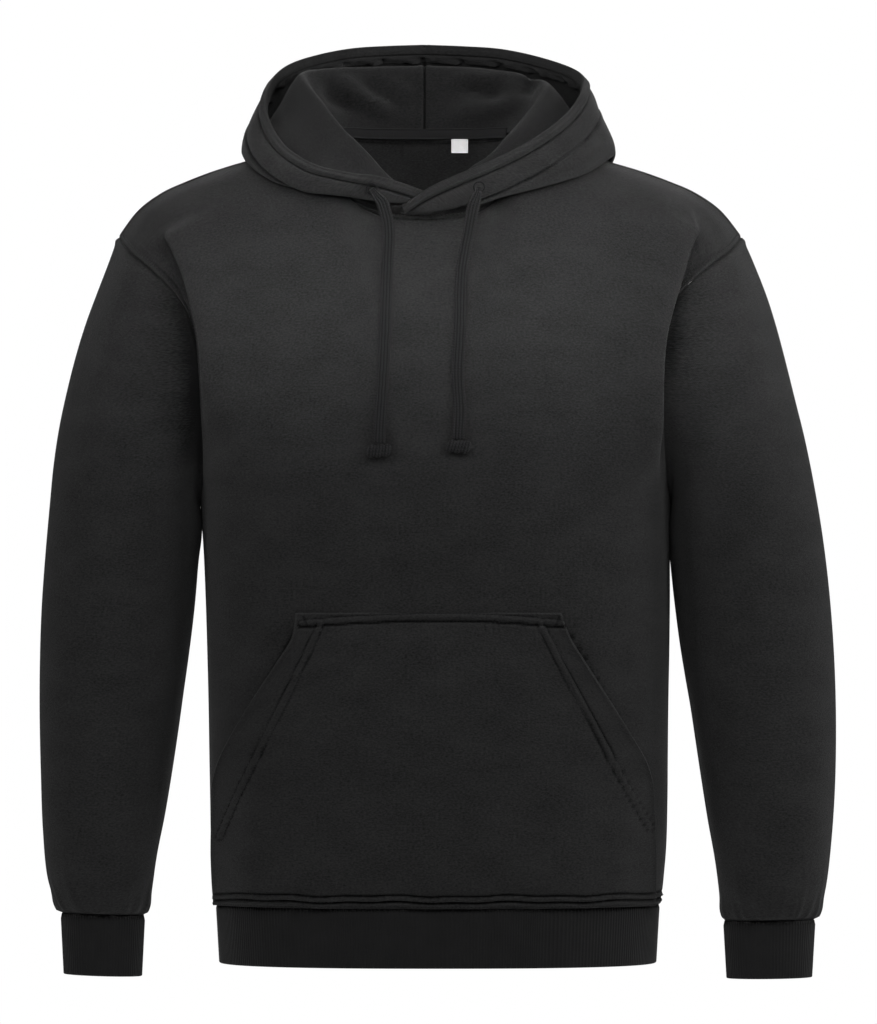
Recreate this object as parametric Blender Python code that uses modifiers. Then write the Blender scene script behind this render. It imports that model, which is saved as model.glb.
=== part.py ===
"""Pullover hoodie in the hollow form it takes when worn: arms hanging, hood down.

Metres, +Z up.  The front faces -Y and the wearer's left is +X.  The origin lies in the neck
opening, between the wearer's shoulders, where the wearer holds the garment up.
Every cloth piece is a thin wall between an outer face and the same face moved inwards.
"""
import math
from collections import namedtuple

import bpy
from mathutils import Vector

COLLECTION = "pullover_hoodie"

# Cloth and how it is joined
FLEECE = 0.0018
RIB = 0.0022
HOOD_LAYER = 0.0014
TAPE = 0.0008
LABEL = 0.0004
SEAM_GAP = 0.0003

# Grid counts: spans across half a panel, spans of the neck among them, rows of a panel
HALF_SPANS = 13
NECK_SPANS = 5
BODY_ROWS = 8
ARMHOLE_ROWS = 12
SLEEVE_ROWS = 16
HOOD_SPANS = 18
HOOD_ROWS = 14

# Body rings from the hem seam up to the underarm: middle is the sideways shift of the centre,
# front and back are depths from the side seams
Ring = namedtuple("Ring", "height middle half front back")
BODY = [
    Ring(-0.6640, 0.0070, 0.1998, 0.113, 0.109),
    Ring(-0.6435, 0.0068, 0.2022, 0.119, 0.115),
    Ring(-0.6075, 0.0080, 0.2043, 0.122, 0.119),
    Ring(-0.5500, 0.0078, 0.2053, 0.125, 0.120),
    Ring(-0.4815, 0.0076, 0.2062, 0.127, 0.116),
    Ring(-0.4095, 0.0073, 0.2078, 0.130, 0.113),
    Ring(-0.3555, 0.0063, 0.2088, 0.133, 0.117),
    Ring(-0.3015, 0.0050, 0.2110, 0.136, 0.124),
]
SECTION_POWER = 0.80            # below 1 squares the body's rings
NECK_TURN = math.radians(23)    # share of a ring's quarter that lies under the neck
NECK_RISE = 0.012               # how much higher the uncut shoulders would meet over the neck
FRONT_NECK_REACH = 0.55         # how far up that uncut surface the neckline is cut
BACK_NECK_REACH = 0.90

# Centre lines of the front and back panels above the underarm, by climb from 0 to 1
Centre = namedtuple("Centre", "climb front front_height back back_height")
CENTRE = [
    Centre(0.00, 0.1360, -0.3015, 0.1240, -0.3015),
    Centre(0.25, 0.1370, -0.2350, 0.1340, -0.2150),
    Centre(0.50, 0.1290, -0.1650, 0.1330, -0.1250),
    Centre(0.75, 0.1080, -0.1000, 0.1100, -0.0420),
    Centre(1.00, 0.0830, -0.0470, 0.0700, 0.0290),
]

# Armhole seam from the underarm to the shoulder point, by climb
Armhole = namedtuple("Armhole", "climb out height front back")
ARMHOLE = [
    Armhole(0.00, 0.2110, -0.3015, 0.000, 0.000),
    Armhole(0.12, 0.2075, -0.2850, 0.030, 0.032),
    Armhole(0.26, 0.2035, -0.2500, 0.060, 0.064),
    Armhole(0.42, 0.2020, -0.2000, 0.080, 0.086),
    Armhole(0.56, 0.2065, -0.1580, 0.088, 0.094),
    Armhole(0.68, 0.2190, -0.1260, 0.087, 0.092),
    Armhole(0.80, 0.2420, -0.1010, 0.073, 0.078),
    Armhole(0.91, 0.2690, -0.0790, 0.042, 0.046),
    Armhole(1.00, 0.2810, -0.0650, 0.000, 0.000),
]
CHEST_ROLL = 0.009              # how far the chest rolls out over the armhole seam
SEAM_TILT = 0.005               # the left armhole seam sits this much higher in front

# Shoulder seam from the neck to the shoulder point
Shoulder = namedtuple("Shoulder", "share out height")
SHOULDER = [
    Shoulder(0.00, 0.0950, 0.0200),
    Shoulder(0.24, 0.1420, 0.0085),
    Shoulder(0.47, 0.1890, -0.0045),
    Shoulder(0.66, 0.2250, -0.0180),
    Shoulder(0.81, 0.2510, -0.0315),
    Shoulder(0.92, 0.2700, -0.0490),
    Shoulder(1.00, 0.2810, -0.0650),
]

# Neckline by turn in degrees from the front centre to the back centre
Neck = namedtuple("Neck", "turn out depth height")
NECK_MIDDLE = -0.0050
NECKLINE = [
    Neck(0, 0.0000, -0.0830, -0.0470),
    Neck(28, 0.0460, -0.0795, -0.0425),
    Neck(52, 0.0770, -0.0610, -0.0215),
    Neck(74, 0.0915, -0.0320, 0.0080),
    Neck(95, 0.0950, 0.0000, 0.0200),
    Neck(120, 0.0830, 0.0380, 0.0290),
    Neck(150, 0.0480, 0.0620, 0.0290),
    Neck(180, 0.0000, 0.0700, 0.0290),
]
SHOULDER_TURN = 95

# Sleeve sections from the armhole to the cuff seam: the outer and inner ends of each
# section's long axis, and where its middle and half depth lie front to back
Sleeve = namedtuple("Sleeve", "share outer outer_height inner inner_height middle deep")
SLEEVE_RIGHT = [
    Sleeve(0.00, 0.2810, -0.0650, 0.2060, -0.3015, 0.000, 0.088),
    Sleeve(0.04, 0.2885, -0.0860, 0.2115, -0.3060, 0.000, 0.088),
    Sleeve(0.10, 0.3015, -0.1200, 0.2125, -0.3130, 0.001, 0.088),
    Sleeve(0.17, 0.3140, -0.1550, 0.2110, -0.3240, 0.003, 0.087),
    Sleeve(0.26, 0.3267, -0.2025, 0.2085, -0.3430, 0.004, 0.085),
    Sleeve(0.36, 0.3370, -0.2550, 0.2110, -0.3850, 0.004, 0.082),
    Sleeve(0.47, 0.3435, -0.3200, 0.2155, -0.4270, 0.001, 0.078),
    Sleeve(0.58, 0.3493, -0.3970, 0.2220, -0.4750, -0.003, 0.073),
    Sleeve(0.69, 0.3510, -0.4750, 0.2295, -0.5290, -0.008, 0.067),
    Sleeve(0.79, 0.3495, -0.5500, 0.2385, -0.5850, -0.013, 0.061),
    Sleeve(0.88, 0.3465, -0.6120, 0.2465, -0.6260, -0.018, 0.054),
    Sleeve(0.95, 0.3405, -0.6520, 0.2510, -0.6560, -0.021, 0.045),
    Sleeve(1.00, 0.3315, -0.6720, 0.2555, -0.6740, -0.022, 0.027),
]
SLEEVE_LEFT = [
    Sleeve(0.00, 0.2810, -0.0650, 0.2160, -0.3015, 0.000, 0.088),
    Sleeve(0.04, 0.2900, -0.0850, 0.2205, -0.3060, 0.000, 0.088),
    Sleeve(0.10, 0.3040, -0.1205, 0.2210, -0.3140, 0.001, 0.088),
    Sleeve(0.17, 0.3150, -0.1570, 0.2190, -0.3270, 0.003, 0.087),
    Sleeve(0.26, 0.3290, -0.2120, 0.2165, -0.3500, 0.004, 0.085),
    Sleeve(0.36, 0.3415, -0.2650, 0.2200, -0.3900, 0.004, 0.082),
    Sleeve(0.47, 0.3540, -0.3380, 0.2265, -0.4400, 0.001, 0.078),
    Sleeve(0.58, 0.3615, -0.4100, 0.2345, -0.4870, -0.003, 0.073),
    Sleeve(0.69, 0.3648, -0.4830, 0.2420, -0.5380, -0.008, 0.067),
    Sleeve(0.79, 0.3640, -0.5560, 0.2500, -0.5900, -0.013, 0.061),
    Sleeve(0.88, 0.3595, -0.6170, 0.2575, -0.6330, -0.018, 0.054),
    Sleeve(0.95, 0.3535, -0.6560, 0.2608, -0.6620, -0.021, 0.045),
    Sleeve(1.00, 0.3460, -0.6780, 0.2630, -0.6790, -0.022, 0.027),
]
CAP_FADE = 0.34                 # share of the sleeve over which the armhole's shape dies away
RING_CROWDING = 1.15            # above 1 sets a sleeve's rings closer together near the armhole

# Cuffs and hem band hang from the last ring of the cloth above: height and taper at the edge
CUFF_HEIGHT = {"right": 0.0535, "left": 0.0505}
CUFF_TAPER = 0.93
HEM_HEIGHT = 0.0520
HEM_TAPER = 0.985
BAND_ROWS = 3

# Pocket rows: height, sideways reach to each edge, and how far the cloth stands off the front
# in the middle and at the edges, which are open from the top down to where they are sewn on
Pocket = namedtuple("Pocket", "height right left middle mouth")
POCKET = [
    Pocket(-0.4010, -0.1176, 0.1150, 0.0000, 0.0000),
    Pocket(-0.4180, -0.1176, 0.1200, 0.0030, 0.0030),
    Pocket(-0.4650, -0.1445, 0.1470, 0.0070, 0.0075),
    Pocket(-0.5090, -0.1693, 0.1725, 0.0085, 0.0085),
    Pocket(-0.5400, -0.1850, 0.1900, 0.0080, 0.0050),
    Pocket(-0.5580, -0.1910, 0.1960, 0.0068, 0.0000),
    Pocket(-0.6200, -0.1925, 0.1990, 0.0040, 0.0000),
    Pocket(-0.6632, -0.1905, 0.1985, 0.0000, 0.0000),
]
POCKET_ROWS = 12
POCKET_SPANS = 14
POCKET_LIFT = 0.0008            # how far the sewn edges lie off the front
POCKET_EDGE = 0.0050            # and how much more at the sides, over the thicker seams

# Neck tape over the back neck seam, and the size label that hangs from its lower edge
TAPE_TURN = 54                  # how far the tape runs to each side of the back centre
TAPE_HALF = 0.0045
TAPE_IN = 0.0026                # from the seam in to the tape, past the cloth's thickness
TAPE_SPANS = 12
LABEL_TURN = 160
LABEL_WIDTH = 0.0150
LABEL_DROP = 0.0125
LABEL_LEAN = 0.0010

# Eyelets in the hood's front bands: place on the hood, ring and binding radius
Eyelet = namedtuple("Eyelet", "side station place")
EYELETS = {"right": Eyelet(-1, 0.220, 0.83), "left": Eyelet(1, 0.230, 0.83)}
EYELET_RADIUS = 0.0047
BINDING = 0.0009

# Drawcords: flat braid, from the eyelet down over the band and the chest to a knot
CORD_WIDTH = 0.0110
CORD_THICK = 0.0024
CORD_STEP = 0.0105
CORD_TILT = {"right": 135, "left": 68}      # degrees that turn the braid's width across the chest
CORD_ROUTE = {
    "right": [(-0.0514, -0.1113, -0.0264), (-0.0506, -0.1140, -0.0275), (-0.0470, -0.1160, -0.0325),
              (-0.0412, -0.1165, -0.0412), (-0.0366, -0.1150, -0.0629), (-0.0378, -0.1160, -0.0985),
              (-0.0395, -0.1305, -0.1518), (-0.0413, -0.1363, -0.1888), (-0.0444, -0.1402, -0.2400),
              (-0.0448, -0.1404, -0.2518)],
    "left": [(0.0434, -0.1134, -0.0248), (0.0432, -0.1162, -0.0258), (0.0425, -0.1182, -0.0310),
             (0.0385, -0.1185, -0.0420), (0.0345, -0.1160, -0.0629), (0.0284, -0.1155, -0.0985),
             (0.0266, -0.1305, -0.1518), (0.0248, -0.1365, -0.1897), (0.0264, -0.1395, -0.2215),
             (0.0256, -0.1410, -0.2400), (0.0254, -0.1411, -0.2482)],
}
CORD_START = 0.45               # share of its width at the eyelet, and how far it takes to open out
CORD_OPENING = 0.0200
ROUTE_STEPS = 200

# Knots at the cords' ends: sizes across, front to back and along the cord
KNOT = (0.0210, 0.0070, 0.0125)
KNOT_ROUND = 0.0030
KNOT_GAP = 0.0006

# Hood folds by neckline turn.  Each row follows the cloth of one half from the neck seam up to
# the standing ridge, down to the low fold that rests on the shoulder, and up to the rim.
# Points are (out, depth, height) from the neck's middle; bulge rounds the outside, and step is
# how far the seam stands forward, where the left half lies over the right one.
Fold = namedtuple("Fold", "station turn step ridge low rim bulge")
HOOD_RIGHT = [
    Fold(0.00, -4, -0.0016, (-0.007, -0.0835, -0.0415), (-0.007, -0.0868, -0.0390),
         (-0.007, -0.0910, -0.0345), 0.000),
    Fold(0.07, 0, -0.0010, (0.000, -0.0863, -0.0395), (0.000, -0.0910, -0.0365),
         (0.000, -0.0960, -0.0300), 0.001),
    Fold(0.20, 26, 0.0000, (0.031, -0.0850, -0.0165), (0.040, -0.1010, -0.0345),
         (0.0385, -0.1080, -0.0180), 0.003),
    Fold(0.30, 42, 0.0000, (0.0546, -0.0690, 0.0102), (0.073, -0.0990, -0.0290),
         (0.065, -0.1065, -0.0140), 0.004),
    Fold(0.40, 58, 0.0000, (0.0736, -0.0480, 0.0300), (0.109, -0.0880, -0.0245),
         (0.099, -0.0940, -0.0055), 0.005),
    Fold(0.51, 80, 0.0000, (0.0947, -0.0150, 0.0586), (0.146, -0.0560, -0.0070),
         (0.129, -0.0620, 0.0160), 0.008),
    Fold(0.62, 100, 0.0000, (0.1089, 0.0250, 0.0815), (0.160, 0.0000, 0.0090),
         (0.1440, -0.0050, 0.0520), 0.007),
    Fold(0.76, 128, 0.0000, (0.085, 0.0590, 0.0895), (0.130, 0.1000, -0.0350),
         (0.127, 0.0660, 0.0895), 0.022),
    Fold(0.88, 154, 0.0000, (0.042, 0.0770, 0.0920), (0.068, 0.1400, -0.0850),
         (0.070, 0.1050, 0.1080), 0.030),
    Fold(1.00, 180, 0.0000, (0.000, 0.0830, 0.0930), (0.000, 0.1520, -0.1050),
         (0.000, 0.1180, 0.1125), 0.033),
]
HOOD_LEFT = [
    Fold(0.00, -13, 0.0046, (-0.017, -0.0900, -0.0460), (-0.018, -0.0945, -0.0450),
         (-0.019, -0.0980, -0.0430), 0.000),
    Fold(0.08, 0, 0.0046, (0.000, -0.0905, -0.0450), (0.000, -0.0975, -0.0435),
         (0.000, -0.1035, -0.0300), 0.001),
    Fold(0.13, 10, 0.0036, (0.013, -0.0905, -0.0430), (0.015, -0.1000, -0.0425),
         (0.012, -0.1065, -0.0240), 0.002),
    Fold(0.20, 26, 0.0010, (0.035, -0.0880, -0.0140), (0.0424, -0.1040, -0.0390),
         (0.0335, -0.1110, -0.0145), 0.003),
    Fold(0.30, 42, 0.0000, (0.0585, -0.0720, 0.0040), (0.071, -0.1000, -0.0310),
         (0.061, -0.1070, -0.0030), 0.004),
    Fold(0.40, 58, 0.0000, (0.072, -0.0540, 0.0200), (0.105, -0.0880, -0.0220),
         (0.090, -0.0950, 0.0120), 0.005),
    Fold(0.51, 80, 0.0000, (0.093, -0.0200, 0.0450), (0.143, -0.0560, -0.0090),
         (0.121, -0.0680, 0.0340), 0.008),
    Fold(0.62, 100, 0.0000, (0.109, 0.0160, 0.0700), (0.168, 0.0000, 0.0080),
         (0.1410, -0.0150, 0.0600), 0.007),
    Fold(0.76, 128, 0.0000, (0.090, 0.0570, 0.0840), (0.138, 0.1000, -0.0350),
         (0.138, 0.0600, 0.0860), 0.022),
    Fold(0.88, 154, 0.0000, (0.044, 0.0770, 0.0910), (0.068, 0.1400, -0.0850),
         (0.075, 0.1020, 0.1070), 0.030),
    Fold(1.00, 180, 0.0000, (0.000, 0.0830, 0.0930), (0.000, 0.1520, -0.1050),
         (0.000, 0.1180, 0.1125), 0.033),
]
HOOD_LIFT = 0.0020              # the hood's edge stands this far above the body's neck edge
HOOD_FIT = 0.978                # and is this much closer in round the neck


def value_at(table, key, column, place):
    """Smooth value of a named column at a place along the key column (cubic through rows)."""
    keys = [getattr(row, key) for row in table]
    values = [getattr(row, column) for row in table]
    if keys[0] > keys[-1]:
        keys.reverse()
        values.reverse()
    place = min(max(place, keys[0]), keys[-1])
    span = 0
    while span < len(keys) - 2 and place > keys[span + 1]:
        span += 1

    def slope(index):
        before = max(index - 1, 0)
        after = min(index + 1, len(keys) - 1)
        return (values[after] - values[before]) * (1.0 / (keys[after] - keys[before]))

    width = keys[span + 1] - keys[span]
    t = (place - keys[span]) / width
    h00 = 2 * t ** 3 - 3 * t ** 2 + 1
    h10 = t ** 3 - 2 * t ** 2 + t
    h01 = -2 * t ** 3 + 3 * t ** 2
    h11 = t ** 3 - t ** 2
    return (values[span] * h00 + slope(span) * (h10 * width)
            + values[span + 1] * h01 + slope(span + 1) * (h11 * width))


def smooth(t):
    """Ease from 0 to 1."""
    t = min(max(t, 0.0), 1.0)
    return t * t * (3 - 2 * t)


# ---------------------------------------------------------------- surfaces

def ring_point(height, angle, facing):
    """A point of a body ring.  angle runs from -90 to 90 degrees, side seam to side seam."""
    middle = value_at(BODY, "height", "middle", height)
    half = value_at(BODY, "height", "half", height)
    depth = value_at(BODY, "height", "front" if facing < 0 else "back", height)
    across = math.copysign(abs(math.sin(angle)) ** SECTION_POWER, angle)
    deep = max(math.cos(angle), 0.0) ** SECTION_POWER
    return Vector((middle + half * across, facing * depth * deep, height))


def column_angle(column):
    """Ring angle of a panel column, counted from the centre: the first ones lie under the neck."""
    count = abs(column)
    if count <= NECK_SPANS:
        angle = NECK_TURN * count / NECK_SPANS
    else:
        share = (count - NECK_SPANS) / (HALF_SPANS - NECK_SPANS)
        angle = NECK_TURN + (math.pi / 2 - NECK_TURN) * share
    return math.copysign(angle, column)


def neck_point(turn, side):
    """A point of the neckline; side is -1 on the wearer's right and 1 on the left."""
    out = value_at(NECKLINE, "turn", "out", abs(turn))
    out = math.copysign(out, turn)
    return Vector((NECK_MIDDLE + side * out,
                   value_at(NECKLINE, "turn", "depth", abs(turn)),
                   value_at(NECKLINE, "turn", "height", abs(turn))))


def top_point(column, facing):
    """The panel's top edge: neckline near the centre, then the shoulder seam."""
    side = -1 if column < 0 else 1
    count = abs(column)
    if count <= NECK_SPANS:
        share = count / NECK_SPANS
        turn = SHOULDER_TURN * share if facing < 0 else 180 - (180 - SHOULDER_TURN) * share
        return neck_point(turn, side)
    share = (count - NECK_SPANS) / (HALF_SPANS - NECK_SPANS)
    out = value_at(SHOULDER, "share", "out", share)
    middle = NECK_MIDDLE * (1 - share)
    return Vector((middle + side * out, 0.0, value_at(SHOULDER, "share", "height", share)))


def armhole_point(climb, side, facing):
    """The armhole seam on one side, front or back."""
    row = {name: value_at(ARMHOLE, "climb", name, climb)
           for name in ("out", "height", "front", "back")}
    depth = row["front"] if facing < 0 else row["back"]
    middle = BODY[-1].middle * (1 - smooth(climb * 2))
    tilt = side * SEAM_TILT * math.sin(math.pi * climb) ** 2
    return Vector((middle + side * row["out"], facing * depth, row["height"] + tilt))


def centre_point(climb, facing):
    """The panel's centre line from the underarm level to the neckline."""
    side = "front" if facing < 0 else "back"
    middle = BODY[-1].middle + (NECK_MIDDLE - BODY[-1].middle) * smooth(climb)
    return Vector((middle, facing * value_at(CENTRE, "climb", side, climb),
                   value_at(CENTRE, "climb", side + "_height", climb)))


def yoke_blend(column, climb, facing):
    """A panel's smooth surface above the underarm, carried on over the neck as if uncut."""
    side = -1 if column < 0 else 1
    under = max(0.0, 1 - abs(column) / NECK_SPANS)
    reach = FRONT_NECK_REACH if facing < 0 else BACK_NECK_REACH
    turn = climb * (1 - (1 - reach) * smooth(under)) * math.pi / 2
    low = ring_point(BODY[-1].height, column_angle(column), facing)
    if under > 0:
        start = SHOULDER[0]
        out = start.out * (1 - under)
        high = Vector((NECK_MIDDLE + side * out, 0.0,
                       start.height + NECK_RISE * (1 - (1 - under) ** 2)))
    else:
        high = top_point(column, facing)
    rise = (climb, 1 - math.cos(turn), math.sin(turn))
    return Vector([a + (b - a) * r for a, b, r in zip(low, high, rise)])


def yoke_point(column, climb, facing):
    """The panel between the underarm level and its top edge, blended from its borders."""
    side = -1 if column < 0 else 1
    weight = (abs(column) / HALF_SPANS) ** 2

    def inside(at):
        centre = centre_point(at, facing) - yoke_blend(0, at, facing)
        edge = armhole_point(at, side, facing) - yoke_blend(side * HALF_SPANS, at, facing)
        return yoke_blend(column, at, facing) + centre * (1 - weight) + edge * weight

    share = abs(column) / HALF_SPANS
    roll = CHEST_ROLL * math.sin(math.pi * share ** 5) * math.sin(math.pi * climb) ** 2
    to_edge = top_point(column, facing) - inside(1)
    return inside(climb) + to_edge * climb ** 3 + Vector((side * roll, 0, 0))


def body_point(column, row, facing):
    """A point of the front (facing -1) or back (facing 1) panel."""
    if row <= BODY_ROWS:
        share = row / BODY_ROWS
        height = BODY[0].height + (BODY[-1].height - BODY[0].height) * share
        return ring_point(height, column_angle(column), facing)
    return yoke_point(column, (row - BODY_ROWS) / ARMHOLE_ROWS, facing)


def sleeve_section(table, share, angle, side, facing):
    """A point of a plain oval sleeve section; angle 0 is its outer end."""
    row = {name: value_at(table, "share", name, share)
           for name in ("outer", "outer_height", "inner", "inner_height", "middle", "deep")}
    across = 0.5 + 0.5 * math.cos(angle)
    return Vector((side * (row["inner"] + (row["outer"] - row["inner"]) * across),
                   row["middle"] + facing * row["deep"] * math.sin(angle),
                   row["inner_height"] + (row["outer_height"] - row["inner_height"]) * across))


def sleeve_point(table, share, climb, side, facing):
    """A point of a sleeve: oval sections that keep the armhole's shape near the seam."""
    angle = math.pi * (1 - climb)
    oval = sleeve_section(table, share, angle, side, facing)
    seam = armhole_point(climb, side, facing) - sleeve_section(table, 0, angle, side, facing)
    return oval + seam * (1 - smooth(share / CAP_FADE))


def curve_point(points, place):
    """Catmull-Rom curve through points; place runs from 0 to 1."""
    spans = len(points) - 1
    index = min(int(place * spans), spans - 1)
    t = place * spans - index
    before = points[max(index - 1, 0)]
    start = points[index]
    end = points[index + 1]
    after = points[min(index + 2, spans)]
    return 0.5 * (2 * start + (end - before) * t + (2 * before - 5 * start + 4 * end - after) * t ** 2
                  + (3 * start - before - 3 * end + after) * t ** 3)


def fold_row(table, station, column):
    """A hood guide point at any station, from the table's rows."""
    guide = namedtuple("guide", "station value")
    point = []
    for axis in range(3):
        line = [guide(row.station, getattr(row, column)[axis]) for row in table]
        point.append(value_at(line, "station", "value", station))
    return Vector(point)


def hood_seam(turn, side):
    """The hood's neck edge, just above and inside the edge that the panels' columns give."""
    facing = -1 if abs(turn) <= SHOULDER_TURN else 1
    share = abs(turn) / SHOULDER_TURN if facing < 0 else (180 - abs(turn)) / (180 - SHOULDER_TURN)
    first = min(int(share * NECK_SPANS), NECK_SPANS - 1)
    ahead = math.copysign(side, turn * side)
    edge = top_point(ahead * first, facing).lerp(top_point(ahead * (first + 1), facing),
                                                 share * NECK_SPANS - first)
    return Vector((NECK_MIDDLE + (edge.x - NECK_MIDDLE) * HOOD_FIT, edge.y * HOOD_FIT,
                   edge.z + HOOD_LIFT))


def hood_point(table, side, station, place):
    """A point of a hood half's middle surface, place 0 at the neck seam and 1 at the rim."""
    seam = hood_seam(value_at(table, "station", "turn", station), side)
    step = value_at(table, "station", "step", station)
    seam = Vector((side * (seam.x - NECK_MIDDLE), seam.y - step, seam.z))
    ridge = fold_row(table, station, "ridge")
    low = fold_row(table, station, "low")
    rim = fold_row(table, station, "rim")
    bulge = value_at(table, "station", "bulge", station)
    away = Vector((low.x, low.y, 0)).normalized()
    fall = ridge.lerp(low, 0.5)
    belly = low.lerp(rim, 0.4) + away * bulge
    point = curve_point([seam, ridge, fall, low, belly, rim], place)
    return Vector((NECK_MIDDLE + side * point.x, point.y, point.z))


# ---------------------------------------------------------------- walls

def grid_normals(grid, closed):
    """Unit normals of a grid of points, rows by columns; closed joins the last column on."""
    rows = len(grid)
    columns = len(grid[0])
    result = []
    for i in range(rows):
        line = []
        for j in range(columns):
            if closed:
                right = grid[i][(j + 1) % columns]
                left = grid[i][(j - 1) % columns]
            else:
                right = grid[i][min(j + 1, columns - 1)]
                left = grid[i][max(j - 1, 0)]
            up = grid[min(i + 1, rows - 1)][j]
            down = grid[max(i - 1, 0)][j]
            line.append((right - left).cross(up - down).normalized())
        result.append(line)
    return result


def share_normals(sheets):
    """Average the normals of points that several sheets have in common, at their seams."""
    totals = {}
    for grid, normals in sheets:
        for points, directions in zip(grid, normals):
            for point, normal in zip(points, directions):
                key = tuple(round(value, 5) for value in point)
                totals[key] = totals.get(key, Vector()) + normal
    for grid, normals in sheets:
        for points, directions in zip(grid, normals):
            for index, point in enumerate(points):
                key = tuple(round(value, 5) for value in point)
                directions[index] = totals[key].normalized()


def draw_in(grid, normals, closed, gap):
    """Pull a sheet's free edges in by a gap, square to the seam and to its normals."""
    whole = [list(line) for line in grid]
    rows = len(grid)
    columns = len(grid[0])

    def pull(i, j, inner, ahead, behind):
        normal = normals[i][j]
        across = normal.cross(ahead - behind).normalized()
        if across.dot(inner - whole[i][j]) < 0:
            across.negate()
        grid[i][j] = grid[i][j] + across * gap

    for i, inner in ((0, 1), (rows - 1, rows - 2)):
        for j in range(columns):
            ahead = (j + 1) % columns if closed else min(j + 1, columns - 1)
            behind = (j - 1) % columns if closed else max(j - 1, 0)
            pull(i, j, whole[inner][j], whole[i][ahead], whole[i][behind])
    if not closed:
        for j, inner in ((0, 1), (columns - 1, columns - 2)):
            for i in range(rows):
                pull(i, j, whole[i][inner], whole[min(i + 1, rows - 1)][j], whole[max(i - 1, 0)][j])


def wall(name, outer, inner, closed, finish):
    """A closed wall between two grids of points, outer on the side the cloth is seen from."""
    rows = len(outer)
    columns = len(outer[0])
    vertices = [point for line in outer for point in line] + [point for line in inner for point in line]
    shift = rows * columns
    faces = []
    spans = columns if closed else columns - 1
    for i in range(rows - 1):
        for j in range(spans):
            k = (j + 1) % columns
            a, b = i * columns + j, i * columns + k
            c, d = (i + 1) * columns + k, (i + 1) * columns + j
            # both sides are split along the same diagonal, which keeps them parallel
            faces += [(a, b, c), (a, c, d)]
            faces += [(c + shift, b + shift, a + shift), (d + shift, c + shift, a + shift)]
    for j in range(spans):
        k = (j + 1) % columns
        top = (rows - 1) * columns
        faces.append((k, j, j + shift, k + shift))
        faces.append((top + j, top + k, top + k + shift, top + j + shift))
    if not closed:
        last = columns - 1
        for i in range(rows - 1):
            a, b = i * columns, (i + 1) * columns
            faces.append((a, b, b + shift, a + shift))
            faces.append((b + last, a + last, a + last + shift, b + last + shift))
    mesh = bpy.data.meshes.new(name)
    mesh.from_pydata(vertices, [], faces)
    mesh.materials.append(finish)
    mesh.shade_smooth()
    piece = bpy.data.objects.new(name, mesh)
    parts.objects.link(piece)
    return piece


def cloth_wall(name, grid, normals, closed, finish, start, end):
    """A wall from one distance inside the sheet to another; negative distances lie outside."""
    outer = [[p - n * start for p, n in zip(ps, ns)] for ps, ns in zip(grid, normals)]
    inner = [[p - n * end for p, n in zip(ps, ns)] for ps, ns in zip(grid, normals)]
    return wall(name, outer, inner, closed, finish)


def material(name, colour, roughness):
    """A plain cloth finish."""
    finish = bpy.data.materials.new(name)
    finish.use_nodes = True
    shader = finish.node_tree.nodes["Principled BSDF"]
    shader.inputs["Base Color"].default_value = (*colour, 1.0)
    shader.inputs["Roughness"].default_value = roughness
    shader.inputs["Metallic"].default_value = 0.0
    return finish


# ---------------------------------------------------------------- pieces

for old in list(bpy.data.objects):
    bpy.data.objects.remove(old, do_unlink=True)
parts = bpy.data.collections.new(COLLECTION)
bpy.context.scene.collection.children.link(parts)

fleece = material("black_fleece", (0.022, 0.022, 0.023), 0.92)
rib = material("black_rib", (0.017, 0.017, 0.018), 0.90)
braid = material("black_braid", (0.012, 0.012, 0.013), 0.85)
tape_cloth = material("black_tape", (0.014, 0.014, 0.015), 0.85)
white_tab = material("white_tab", (0.80, 0.80, 0.79), 0.60)


def body_grid(facing):
    """Rows from the hem up; columns run so that the normals point out of the body."""
    columns = range(-HALF_SPANS, HALF_SPANS + 1)
    order = list(columns) if facing < 0 else list(reversed(columns))
    return [[body_point(column, row, facing) for column in order]
            for row in range(BODY_ROWS + ARMHOLE_ROWS + 1)]


def sleeve_grid(table, side):
    """Rings from the armhole down; ring points start at the shoulder and go round the front."""
    climbs = [1 - k / ARMHOLE_ROWS for k in range(ARMHOLE_ROWS)]
    around = [(climb, -1) for climb in climbs] + [(1 - climb, 1) for climb in climbs]
    if side > 0:
        around = [around[0]] + list(reversed(around[1:]))
    shares = [(row / SLEEVE_ROWS) ** RING_CROWDING for row in range(SLEEVE_ROWS + 1)]
    grid = [[sleeve_point(table, share, climb, side, facing) for climb, facing in around]
            for share in shares]
    grid.reverse()
    return grid


def band_grid(ring, height, taper):
    """Rows from a band's edge up to the seam it hangs from; the ring draws in towards the edge."""
    middle = sum(ring, Vector()) / len(ring)
    grid = []
    for row in range(BAND_ROWS + 1):
        drop = 1 - row / BAND_ROWS
        scale = 1 - (1 - taper) * drop
        grid.append([Vector((middle.x + (point.x - middle.x) * scale,
                             middle.y + (point.y - middle.y) * scale,
                             point.z - height * drop)) for point in ring])
    return grid


def hood_grid(table, side):
    """Rows from the neck seam to the rim; columns run so that the hood's outside is outward."""
    stations = [k / HOOD_SPANS for k in range(HOOD_SPANS + 1)]
    if side < 0:
        stations.reverse()
    return [[hood_point(table, side, station, row / HOOD_ROWS) for station in stations]
            for row in range(HOOD_ROWS + 1)]


def front_point(across, height):
    """The front panel's point at a sideways place and a height below the underarm."""
    middle = value_at(BODY, "height", "middle", height)
    half = value_at(BODY, "height", "half", height)
    share = min(abs(across - middle) / half, 1.0)
    angle = math.copysign(math.asin(share ** (1 / SECTION_POWER)), across - middle)
    return ring_point(height, angle, -1)


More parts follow.
